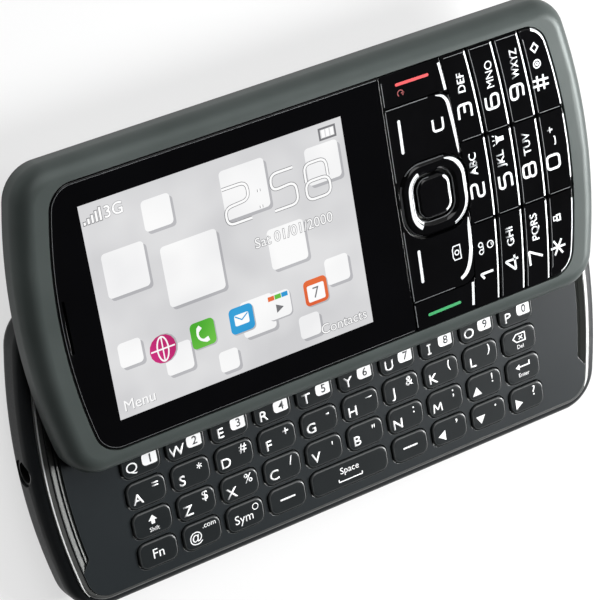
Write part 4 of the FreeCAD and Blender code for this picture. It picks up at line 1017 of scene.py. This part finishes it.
icons = inMm({
    "y": 16.65,
    "shapes": {
        # x, y, length, width and corner of the shade and of the icon on it
        "tile": ((0.2, -0.25, 4.5, 4.5, 0.8), (0, 0, 4.5, 4.5, 0.8)),
        "disc": ((0.2, 0, 5.0, 5.0, 2.4), (0, 0, 4.8, 4.8, 2.304)),
    },
    "rows": [
        # x, shape, look, then (look, level, x, y, length, width, corner) of each block on it
        # and (look, level, points, width) of each path
        (-25.98, "tile", "screenGreen", [], [
            (
                "screenWhite", 5, arcPath(0.35, 0.15, 1.35, 8, 120, 296),
                [0.8, 0.8, 0.45, 0.4, 0.4, 0.4, 0.45, 0.8, 0.8],
            ),
        ]),
        (-18.63, "tile", "screenBlue", [("screenWhite", 5, 0, 0, 2.7, 1.9, 0.3)], [
            ("screenBlue", 6, [(-1.2, 0.75), (0, -0.1), (1.2, 0.75)], 0.22),
        ]),
        (-11.43, "tile", "screenTile", [
            ("screenOrange", 5, -1.3, 1.5, 1.2, 0.8),
            ("screenGreen", 5, 0, 1.5, 1.2, 0.8),
            ("screenBlue", 5, 1.3, 1.5, 1.2, 0.8),
        ], [("screenInk", 5, [(-0.6, -0.5), (0.8, -0.5)], [1.5, 0.02])]),
        (-4.21, "tile", "screenOrange", [("screenWhite", 5, 0, -0.2, 3.3, 2.9, 0.3)], []),
        (-33.48, "disc", "screenPlum", [], [
            ("screenWhite", 5, arcPath(0, 0, 1.0, 24, tall=2.1), 0.26),
            ("screenWhite", 6, [(-2.2, 0), (2.2, 0)], 0.26),
            ("screenWhite", 6, [(0, -2.2), (0, 2.2)], 0.22),
        ]),
    ],
    "day": ("7", -4.21, 16.45, 1.9),
})


def addScreenIcons():
    # A handset, a letter, a striped sheet, a day leaf and a globe.
    for x, shape, look, blocks, paths in icons["rows"]:
        shade, icon = icons["shapes"][shape]
        blocks = [("screenShade", 3, *shade), (look, 4, *icon)] + blocks
        for look, level, across, up, *size in blocks:
            screenBlock(look, level, x + across, icons["y"] + up, *size)
        for look, level, points, width in paths:
            screenPath(look, level, place2d(points, x, icons["y"]), width)
    screenParts["screenInk"].append(addWord(*icons["day"], *screenLevel(6)))


status = inMm({
    "signal": (-42.5, 40.85),
    "signalCount": 5,
    "signalPitch": 0.72,
    "signalHeight": 0.5,
    "signalRise": 0.42,
    "signalBars": [("screenInk", 4, 0.6, 0.25), ("screenWhite", 5, 0.4, 0)],
    "battery": [(1.2, 41.4), (4.2, 41.4), (4.2, 43.2), (1.2, 43.2), (1.2, 41.4)],
    "batteryEdge": 0.34,
    "charge": (1.9, 42.3),
    "chargeCount": 3,
    "chargePitch": 0.85,
    "chargeSize": (0.6, 1.3),
    "words": [
        # text, x, y, height
        ("Sat 01/01/2000", -6.35, 28.2, 1.75),
        ("Menu", -39.2, 9.6, 1.85),
        ("Contacts", 0.1, 9.6, 1.75),
        ("3G", -37.3, 41.9, 2.0),
    ],
})
wordStyles = {"Menu": {"outline": 0.0}, "3G": {"bold": 0.01}}


def addStatus():
    for text, *place in status["words"]:
        screenWord(text, *place, **wordStyles.get(text, {}))
    for index in range(status["signalCount"]):
        x = status["signal"][0] + index * status["signalPitch"]
        height = status["signalHeight"] + index * status["signalRise"]
        y = status["signal"][1] + height / 2
        for look, level, width, edge in status["signalBars"]:
            screenBlock(look, level, x, y, width, height + edge)
    screenPath("screenInk", 4, status["battery"], status["batteryEdge"])
    x, y = status["charge"]
    for index in range(status["chargeCount"]):
        screenBlock("screenWhite", 5, x + index * status["chargePitch"], y, *status["chargeSize"])


addWallpaper()
addClock()
addScreenIcons()
addStatus()
for look, pieces in screenParts.items():
    fit(look + "Image", pieces, "slider", look)
print("display done")


# Bright and dim strips laid on the face keys: painted highlights on the edges that face the light,
# painted reflections on the others.
def rimPoint(x, y, length, width, corner, angle):
    # Where a ray from the middle of a rounded oblong meets its rim.
    c, s = math.cos(math.radians(angle)), math.sin(math.radians(angle))
    flatX, flatY = length / 2 - corner, width / 2 - corner
    for half, along, across, flat in ((length / 2, c, s, flatY), (width / 2, s, c, flatX)):
        reach = half / max(abs(along), tiny)
        if abs(across) * reach <= flat:
            return Vector((x + c * reach, y + s * reach))
    middle = Vector((math.copysign(flatX, c), math.copysign(flatY, s)))
    ahead = middle.x * c + middle.y * s
    reach = ahead + math.sqrt(max(0.0, ahead**2 - middle.length_squared + corner**2))
    return Vector((x + c * reach, y + s * reach))


def rimPath(outline, inset, stops, step=5):
    # stops are (angle, width) pairs round the rim; inset runs from the rim inwards.
    path = []
    widths = []
    for (start, startWidth), (end, endWidth) in zip(stops, stops[1:]):
        count = max(1, round(abs(end - start) / step))
        for index in range(count + (end == stops[-1][0])):
            share = index / count
            rim = rimPoint(*outline, start + (end - start) * share)
            inward = (Vector(outline[:2]) - rim).normalized()
            path.append(rim + inward * inset)
            widths.append(startWidth + (endWidth - startWidth) * share)
    return path, widths


def smoothPath(points, widths, steps=4):
    # Fills a coarse path and its widths in along a curve through every point.
    path = []
    sizes = []
    knots = [Vector(point) for point in points]
    for index in range(len(knots) - 1):
        before = knots[max(0, index - 1)]
        after = knots[min(len(knots) - 1, index + 2)]
        a, b = knots[index], knots[index + 1]
        for step in range(steps):
            t = step / steps
            spot = a * (2 * t**3 - 3 * t**2 + 1) + b * (3 * t**2 - 2 * t**3)
            spot += (b - before) / 2 * (t**3 - 2 * t**2 + t) + (after - a) / 2 * (t**3 - t**2)
            path.append(spot)
            sizes.append(widths[index] * (1 - t) + widths[index + 1] * t)
    return path + [knots[-1]], sizes + [widths[-1]]


drapedStrip = inMm({"start": 20.0, "sink": 0.012, "height": 0.03})
downOnly = {"use_project_z": True, "use_negative_direction": True, "use_positive_direction": False}


def addDrapedStrip(nodeName, path, width, across=4):
    # A strip dropped on to a piece, so that it bends over its edges, then given a thickness.
    strip = addSheet(path, width, drapedStrip["start"], across)
    target = bpy.data.objects[camelName(nodeName)]
    addModifier(strip, "SHRINKWRAP", target=target, wrap_method="PROJECT", **downOnly)
    shift(strip, 0, 0, -drapedStrip["sink"])
    drawUp(strip, drapedStrip["height"])
    return strip


navLow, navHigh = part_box("nav_ring")
okLow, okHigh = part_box("ok_key")
navMiddle = ((navLow.x + navHigh.x) / 2, (navLow.y + navHigh.y) / 2)
okSize = (okHigh.x - okLow.x, okHigh.y - okLow.y)
rimCorners = inMm({"ring": 4.7, "key": 2.1, "hole": 2.6})
rims = {
    # middle, length, width and corner of each rounded oblong
    "ring": (*navMiddle, navHigh.x - navLow.x, navHigh.y - navLow.y, rimCorners["ring"]),
    "key": (*navMiddle, *okSize, rimCorners["key"]),
    "hole": (*navMiddle, okSize[0] + mm, okSize[1] + mm, rimCorners["hole"]),
}
navMarks = inMm({
    # name: its node, its look and for each strip the rim, the inset and (angle, width) stops
    "navBright": ("nav_ring", "silver", [
        ("ring", 0.55, [
            (66, 0.12), (55, 0.5), (40, 0.85), (18, 1.0),
            (0, 1.0), (-22, 0.95), (-46, 0.85), (-62, 0.62),
        ]),
        ("hole", -0.86, [(121, 0.9), (140, 1.05), (180, 1.1), (212, 1.15), (234, 1.3)]),
    ]),
    "navFine": ("nav_ring", "hairline", [
        ("ring", 0.16, [(66, 0.14), (90, 0.16), (136, 0.14)]),
        ("ring", 0.18, [(151, 0.2), (180, 0.24), (215, 0.22), (240, 0.14)]),
        ("hole", -0.12, [(-75, 0.12), (0, 0.16), (75, 0.12)]),
        ("hole", -0.12, [(100, 0.1), (180, 0.14), (285, 0.1)]),
    ]),
    "okBright": ("ok_key", "silver", [
        ("key", 0.46, [(57, 0.3), (50, 0.56), (0, 0.66), (-50, 0.6), (-60, 0.5)]),
    ]),
    "okFine": ("ok_key", "hairline", [("key", 0.1, [(100, 0.12), (180, 0.12), (300, 0.12)])]),
})
# navBright and okBright are painted highlights on the edges that face the right-hand light; navFine and
# okFine are dim painted reflections on the other edges.
for name, (nodeName, look, strips) in navMarks.items():
    pieces = [addDrapedStrip(nodeName, *rimPath(rims[rim], inset, stops)) for rim, inset, stops in strips]
    fit(name, pieces, nodeName, look)


# Marks on the number and function keys: printed signs, with painted highlights and painted reflections
# along the key edges.
faceMarks = inMm({
    "sink": 0.02,
    "height": 0.012,
    "digit": (1.2, 1.3, 0.44),
    "signSizes": {
        # half length, half height and pen of the signs that differ
        "hash": (1.2, 1.52, 0.38),
        "star": (1.32, 1.42, 0.38),
        "4": (1.36, 1.36, 0.4),
        "7": (1.28, 1.38, 0.42),
        "C": (1.05, 1.0, 0.42),
    },
    "letters": 1.5,
    "barWidth": 0.48,
    "barInset": 0.37,
    "barMargin": 0.35,
    "callMargin": 0.8,
    "hairWidth": 0.1,
    "hairInset": -0.5,
    "rowBow": 150.0,
    "edgeSteps": 6,
    "signs": {
        # body: sign, its place and, where it has them, letters and their place
        "key_1": ("1", (29.48, 8.26)),
        "key_2": ("2", (29.91, 23.46), "ABC", (29.68, 28.24)),
        "key_3": ("3", (29.59, 37.85), "DEF", (29.5, 42.85)),
        "key_4": ("4", (34.84, 8.4), "GHI", (35.07, 13.26)),
        "key_5": ("5", (35.77, 23.34), "JKL", (35.59, 27.41)),
        "key_6": ("6", (35.26, 37.85), "MNO", (35.36, 42.65)),
        "key_7": ("7", (39.96, 7.93), "PQRS", (40.5, 13.32)),
        "key_8": ("8", (40.94, 23.62), "TUV", (41.0, 28.45)),
        "key_9": ("9", (40.51, 38.0), "WXYZ", (40.66, 43.0)),
        "key_star": ("star", (44.81, 8.11)),
        "key_0": ("0", (46.1, 23.58), "+", (46.16, 29.36)),
        "key_hash": ("hash", (45.57, 38.15)),
        "clear_key": ("C", (23.9, 37.19)),
    },
    "rows": [
        ["key_1", "key_2", "key_3"],
        ["key_4", "key_5", "key_6"],
        ["key_7", "key_8", "key_9"],
        ["key_star", "key_0", "key_hash"],
    ],
    "columnLine": {"width": 0.09, "low": 0.18, "high": 0.45, "left": 0.6, "right": 0.8},
    "curves": [
        # node, points, widths
        (
            "clear_key",
            [
                (24.2, 42.2), (25.5, 41.75), (26.32, 40.6), (26.58, 38.9),
                (26.8, 37.0), (27.0, 34.5), (27.14, 32.4), (27.2, 31.2),
            ],
            [0.12, 0.42, 0.6, 0.62, 0.6, 0.52, 0.38, 0.1],
        ),
        (
            "photo_key",
            [
                (27.2, 19.5), (27.12, 18.0), (27.02, 15.75), (26.85, 13.6),
                (26.2, 11.3), (25.28, 9.86), (24.1, 9.15),
            ],
            [0.12, 0.56, 0.68, 0.72, 0.74, 0.7, 0.55],
        ),
    ],
    "lines": [
        # node, start, end, width
        ("end_key", (14.12, 47.2), (14.12, 43.1), 0.12),
        ("clear_key", (14.12, 42.2), (14.12, 29.8), 0.12),
        ("clear_key", (14.2, 42.36), (22.6, 42.36), 0.12),
        ("photo_key", (14.12, 20.9), (14.12, 8.3), 0.14),
        ("photo_key", (14.2, 8.05), (22.6, 8.05), 0.12),
        ("send_key", (14.12, 7.5), (14.12, 3.5), 0.14),
    ],
    "bars": [
        # node, start, end, width, look
        ("end_key", (17.0, 46.19), (23.2, 46.14), 0.53, "red"),
        ("send_key", (16.75, 5.0), (23.1, 5.08), 0.53, "green"),
        ("clear_key", (16.4, 39.95), (16.33, 34.5), 0.55, ""),
        ("photo_key", (16.5, 16.65), (16.4, 11.25), 0.55, ""),
    ],
    "barSegments": 5,
    "power": [arcPath(17.55, 44.6, 0.55, 14, -50, 230), [(17.65, 44.6), (18.3, 44.6)]],
    "powerPen": 0.18,
    "small": [
        # node, place, strokes and their widths, turned by 90 degrees
        ("photo_key", (23.96, 14.04), [      # camera
            ([
                (-1.25, -0.75), (1.25, -0.75), (1.25, 0.6), (0.7, 0.85),
                (-0.7, 0.85), (-1.25, 0.6), (-1.25, -0.75),
            ], 0.2),
            (arcPath(0, 0, 0.42, 16), 0.2),
        ]),
        ("key_1", (28.9, 13.1), [      # tape
            (arcPath(-0.65, 0, 0.42), 0.2),
            (arcPath(0.65, 0, 0.42), 0.2),
            ([(-0.65, -0.45), (0.65, -0.45)], 0.2),
        ]),
        ("key_1", (30.9, 13.3), [      # face
            (arcPath(0, 0, 0.62), 0.2),
            ([(-0.25, -0.2), (0.25, -0.2)], 0.16),
        ]),
        ("key_5", (35.63, 31.2), [      # torch
            ([(-0.2, -0.9), (-0.2, 0.2)], 0.8),
            ([(-0.2, 0.2), (-0.2, 0.75)], [0.8, 1.7]),
            ([(-0.9, 1.0), (-1.1, 1.4)], 0.16),
            ([(-0.2, 1.0), (-0.2, 1.45)], 0.16),
            ([(0.5, 1.0), (0.7, 1.4)], 0.16),
        ]),
        ("key_0", (46.5, 27.3), [      # underscore
            ([(-0.75, -0.3), (-0.6, -0.55), (0.6, -0.55), (0.75, -0.3)], 0.22),
        ]),
        ("key_hash", (45.3, 41.6), [      # two rings
            (arcPath(0, 0, 0.72), 0.22),
            (arcPath(0, 0, 0.28, 8), 0.2),
        ]),
        ("key_hash", (45.15, 44.5), [      # square on its corner
            ([(-0.8, 0), (0, 0.75), (0.8, 0), (0, -0.75), (-0.8, 0)], 0.28),
        ]),
        ("key_star", (45.4, 13.4), [      # lock
            ([(-0.5, -0.6), (0.5, -0.6), (0.5, 0.1), (-0.5, 0.1), (-0.5, -0.6)], 0.3),
            ([(-0.35, 0.2), (-0.35, 0.8), (0.35, 0.8), (0.35, 0.2)], 0.2),
        ]),
    ],
    # the line round the glass, and the bars on the last number row, which are painted highlights
    "glassLine": {"inset": 0.42, "stop": 0.4, "width": 0.08, "endRadius": 89.6, "corner": 4.2},
    "farLine": {"inset": 0.42, "reach": 2.2, "margin": 0.3, "endRadius": 89.58, "corner": 4.1},
    "lineSteps": (8, 20),
})
faceType = {
    # width of the type and how far its outline is moved out
    "usual": {"stretch": 0.98, "bold": 0.02},
    "MNO": {"stretch": 0.98},
    "WXYZ": {"stretch": 0.8, "bold": 0.02},
}
bright, fine = defaultdict(list), defaultdict(list)


def flatLevel(nodeName):
    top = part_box(nodeName)[1].z
    return top - faceMarks["sink"], top + faceMarks["height"]


def addKeySigns():
    for name, (sign, spot, *words) in faceMarks["signs"].items():
        levels = (*flatLevel(name), 90)
        size = faceMarks["signSizes"].get(sign, faceMarks["digit"])
        bright[name].append(drawGlyph(sign, *spot, *size, *levels))
        if words:
            letters, (x, y) = words
            style = faceType.get(letters, faceType["usual"])
            word = addWord(letters, x, y, faceMarks["letters"], *levels, **style)
            bright[name].append(word)
    for name, spot, strokes in faceMarks["small"]:
        for points, width in strokes:
            bright[name].append(addStrip(place2d(points, *spot, turn=90), width, *flatLevel(name)))


def rowEdge(nodeName, y):
    # The bowed right-hand edge of a key at this height.
    low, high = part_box(nodeName)
    middle = navMiddle[1]
    nearest = min(max(middle, low.y), high.y)
    return high.x - ((y - middle) ** 2 - (nearest - middle) ** 2) / (2 * faceMarks["rowBow"])


def addEdgeLine(group, name, edgeOf, kind, margin, across=4):
    # Along the right-hand edge of a key, or beside that of the key to its left: a bright painted
    # highlight on the edge that faces the light, or a dim painted reflection.
    low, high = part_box(name)
    inset, width = faceMarks[kind + "Inset"], faceMarks[kind + "Width"]
    yLow, yHigh = low.y + margin, high.y - margin
    path = []
    for index in range(faceMarks["edgeSteps"] + 1):
        y = yLow + (yHigh - yLow) * index / faceMarks["edgeSteps"]
        path.append((rowEdge(edgeOf, y) - inset, y))
    group[name].append(addDrapedStrip(name, path, width, across))


def addEdgeLines():
    rows, margin = faceMarks["rows"], faceMarks["barMargin"]
    for row, names in enumerate(rows):
        for column, name in enumerate(names):
            if row < 3:
                addEdgeLine(bright, name, name, "bar", margin)
            if row:
                addEdgeLine(fine, name, rows[row - 1][column], "hair", margin, 1)
    for name in ("send_key", "end_key"):
        addEdgeLine(bright, name, name, "bar", faceMarks["callMargin"])


def addColumnLines():
    # Fine lines along the dividers between the columns and on the far edge of the face, dim painted
    # reflections of those edges.
    look, steps = faceMarks["columnLine"], faceMarks["edgeSteps"]
    for middleName, farName in (names[1:] for names in faceMarks["rows"]):
        for name in (middleName, farName):
            low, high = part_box(name)
            leastEdge = min(rowEdge(name, low.y), rowEdge(name, high.y))
            levels = [low.y + look["low"]]
            if name == farName and name != "key_hash":
                levels.append(high.y - look["high"])
            for y in levels:
                right = rowEdge(name, y) - look["right"]
                left = low.x + rowEdge(name, y) - leastEdge + look["left"]
                path = [(left + (right - left) * step / steps, y) for step in range(steps + 1)]
                fine[name].append(addDrapedStrip(name, path, look["width"], 1))


def addFunctionLines():
    # The bright curves on the curved edges of the clear and photo keys are painted highlights; the fine
    # lines along the other edges are dim painted reflections.
    for name, points, widths in faceMarks["curves"]:
        bright[name].append(addDrapedStrip(name, *smoothPath(points, widths)))
    for name, start, end, width in faceMarks["lines"]:
        path = [Vector(start).lerp(Vector(end), step / 4) for step in range(5)]
        fine[name].append(addDrapedStrip(name, path, width, 2))


def addFunctionBars():
    # Bars with half-round ends; two of them are pieces of their own, and so is the power sign.
    for name, start, end, width, look in faceMarks["bars"]:
        start, end = Vector(start), Vector(end)
        run = end - start
        length, corner = run.length + width, width * cornerShare
        levels = flatLevel(name)
        bar = addRoundBlock(0, 0, length, width, *levels, corner, faceMarks["barSegments"])
        turnBy(bar, math.atan2(run.y, run.x))
        shift(bar, *((start + end) / 2))
        if look:
            fit(look + "Bar", [bar], name, look)
        else:
            bright[name].append(bar)
    levels = flatLevel("end_key")
    strips = [addStrip(path, faceMarks["powerPen"], *levels) for path in faceMarks["power"]]
    fit("powerSign", strips, "end_key", "redDim")


def addFaceLine():
    # A fine line just inside the edge of the face, over the glass and the far keys.
    low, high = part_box("display_window")
    middleY, halfWidth = (low.y + high.y) / 2, (high.y - low.y) / 2
    loops = []
    for look in (faceMarks["glassLine"], faceMarks["farLine"]):
        inset, outline = look["inset"], (look["endRadius"], look["corner"])
        loop = outlineLoop(-low.x - inset, halfWidth - inset, *outline, *faceMarks["lineSteps"])
        loops.append([(x, y + middleY) for x, y in loop])
    look, stop = faceMarks["glassLine"], high.x - faceMarks["glassLine"]["stop"]
    left = [(x, y) for x, y in loops[0] if x < 0]
    left = [(stop, left[0][1])] + left + [(stop, left[-1][1])]
    line = addDrapedStrip("display_window", left, look["width"], 1)
    fit("glassEdge", [line], "slider", "hairline")
    # On the far keys the strips are wide and bright, a painted highlight on the edge of the face that
    # faces the light.
    look, right = faceMarks["farLine"], sorted(loops[1], key=lambda point: point[1])
    for name in faceMarks["rows"][-1]:
        low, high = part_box(name)
        first, last, least = low.y + look["margin"], high.y - look["margin"], low.x + look["reach"]
        path = [(x, y) for x, y in right if first < y < last and x > least]
        bright[name].append(addDrapedStrip(name, path, faceMarks["barWidth"]))


addKeySigns()
addEdgeLines()
addColumnLines()
addFunctionLines()
addFunctionBars()
addFaceLine()
# The bright pieces hold printed signs and painted highlights, the fine ones dim painted reflections.
for ending, look, groups in (("Marks", "silver", bright), ("Lines", "hairline", fine)):
    for body, pieces in groups.items():
        fit(camelName(body) + ending, pieces, body, look)
print("face marks done")


# Sloping ribs in the grooves at the ends of the deck.
ribs = inMm({
    # inset of the outer and the inner edge, sink of the outer and the inner edge below the deck
    "rows": [(0.16, 0.98, 0.03, 0.34), (1.2, 1.72, 0.12, 0.36)],
    "front": 3.6,
    "rear": 3.0,
    "taper": 2.0,
    "steps": 24,
    "thickness": 0.08,
})
ribTip, beadTip = 0.35, 0.25     # share of the full width at a pointed end
beadGrowth = 6     # how many times faster than its length a bead reaches its full width


def addRib(side, outer, inner, outerSink, innerSink):
    # Laid along the bowed end of the deck, low on its inner side, narrow at its front end.
    halfLength, halfWidth, endRadius = deckOutline[:3]
    radius = endRadius - (outer + inner) / 2
    bowX = halfLength - endRadius
    front, rear = ribs["front"] - halfWidth, halfWidth - ribs["rear"]
    path = []
    widths = []
    for step in range(ribs["steps"] + 1):
        y = front + (rear - front) * step / ribs["steps"]
        path.append((side * (bowX + math.sqrt(radius**2 - y**2)), y))
        widths.append((inner - outer) * min(1.0, ribTip + (y - front) / ribs["taper"]))
    rib = addSheet(path, widths, deckHigh.z, 2)
    for vertex in rib.data.vertices:
        reach = math.hypot(side * vertex.co.x - bowX, vertex.co.y)
        share = (endRadius - outer - reach) / (inner - outer)
        vertex.co.z -= outerSink + (innerSink - outerSink) * share + ribs["thickness"]
    drawUp(rib, ribs["thickness"])
    return rib


pieces = [addRib(side, *row) for side in (-1, 1) for row in ribs["rows"]]
fit("deckRibs", pieces, "base", "rib")


# Pale beads on the trim ring at the two ends: its chrome edge, with the highlight on it painted in as a
# pale strip.
beads = inMm({
    # side, middle of the bead out from the edge of the deck, its width
    "rows": [(-1, 1.02, 0.24), (1, 0.5, 0.46)],
    "reach": 2.6,
    "sink": 0.02,
    "thickness": 0.032,
})
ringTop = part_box("trim_ring")[1].z


def addBead(side, out, width):
    # Follows the bowed end and the start of both corners, thinning out at its tips.
    outline = outlineLoop(*[part + out for part in deckOutline])
    least = deckOutline[0] - beads["reach"]
    path = [point for point in outline if side * point[0] > least]
    path.sort(key=lambda point: point[1])
    last = len(path) - 1
    inward = [beadGrowth * min(index, last - index) / last for index in range(last + 1)]
    low = ringTop - beads["sink"]
    widths = [width * min(1.0, beadTip + part) for part in inward]
    return addStrip(path, widths, low, low + beads["thickness"])


fit("endBeads", [addBead(*row) for row in beads["rows"]], "base", "bead")


# Wire spring and flexible circuit, copied in their own finishes in place of the imported nodes.
bends = inMm({
    # node: its finish, where it still follows the base and where it follows the display half
    "assist_spring": ("spring_steel", (6.4, 0, 0), (-8.4, 0, 0)),
    "slide_flex": ("flex_film", (0, 0, 8.5), (0, 0, 10.5)),
})
for nodeName, (slot, start, end) in bends.items():
    piece = cleanCopy(nodeName)
    setLook(piece, slot)
    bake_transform(piece)
    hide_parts(nodeName)


# Cross recesses in the screw heads.
screwCross = inMm({"length": 1.3, "width": 0.34, "depth": 0.35, "step": 0.01, "edge": 0.04})


def addScrews(nodeName):
    # One screw in each corner of the group; the heads face down.
    piece = cleanCopy(nodeName)
    low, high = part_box(nodeName)
    points = [vertex.co for vertex in piece.data.vertices]
    heads = [point.x for point in points if point.x > 0 and point.z < low.z + tiny]
    headRadius = max(abs(x - high.x) for x in heads) / 2
    length, width, depth = screwCross["length"], screwCross["width"], screwCross["depth"]
    for across, along, zHigh in (
        (length, width, low.z + depth),
        (width, length, low.z + depth + screwCross["step"]),
    ):
        cutters = []
        for x in (low.x + headRadius, high.x - headRadius):
            for y in (low.y + headRadius, high.y - headRadius):
                corner = (x - across / 2, y - along / 2, low.z - mm)
                cutters.append(addBlock(corner, (x + across / 2, y + along / 2, zHigh)))
        combine(piece, joinPieces(cutters))
    softenEdges(piece, screwCross["edge"], 1)
    fit(piece.name, [piece], nodeBody[nodeName], "screws", [nodeName])


for nodeName in ("base_screws", "slider_screws"):
    addScrews(nodeName)


# Rings round the camera on the underside.
cameraRings = inMm({
    "rise": 0.05,
    "rows": [
        # name, radius, points, width, finish
        ("cameraRing", 2.75, 40, 0.5, "trim"),
        ("lensRing", 1.05, 32, 0.18, "socket_plastic"),
    ],
})
low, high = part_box("camera_window")
for name, radius, count, width, look in cameraRings["rows"]:
    path = arcPath((low.x + high.x) / 2, (low.y + high.y) / 2, radius, count)
    ring = addStrip(path, width, low.z - cameraRings["rise"], low.z + tiny)
    fit(name, [ring], "base", look)
print("ribs, screws and camera rings done")
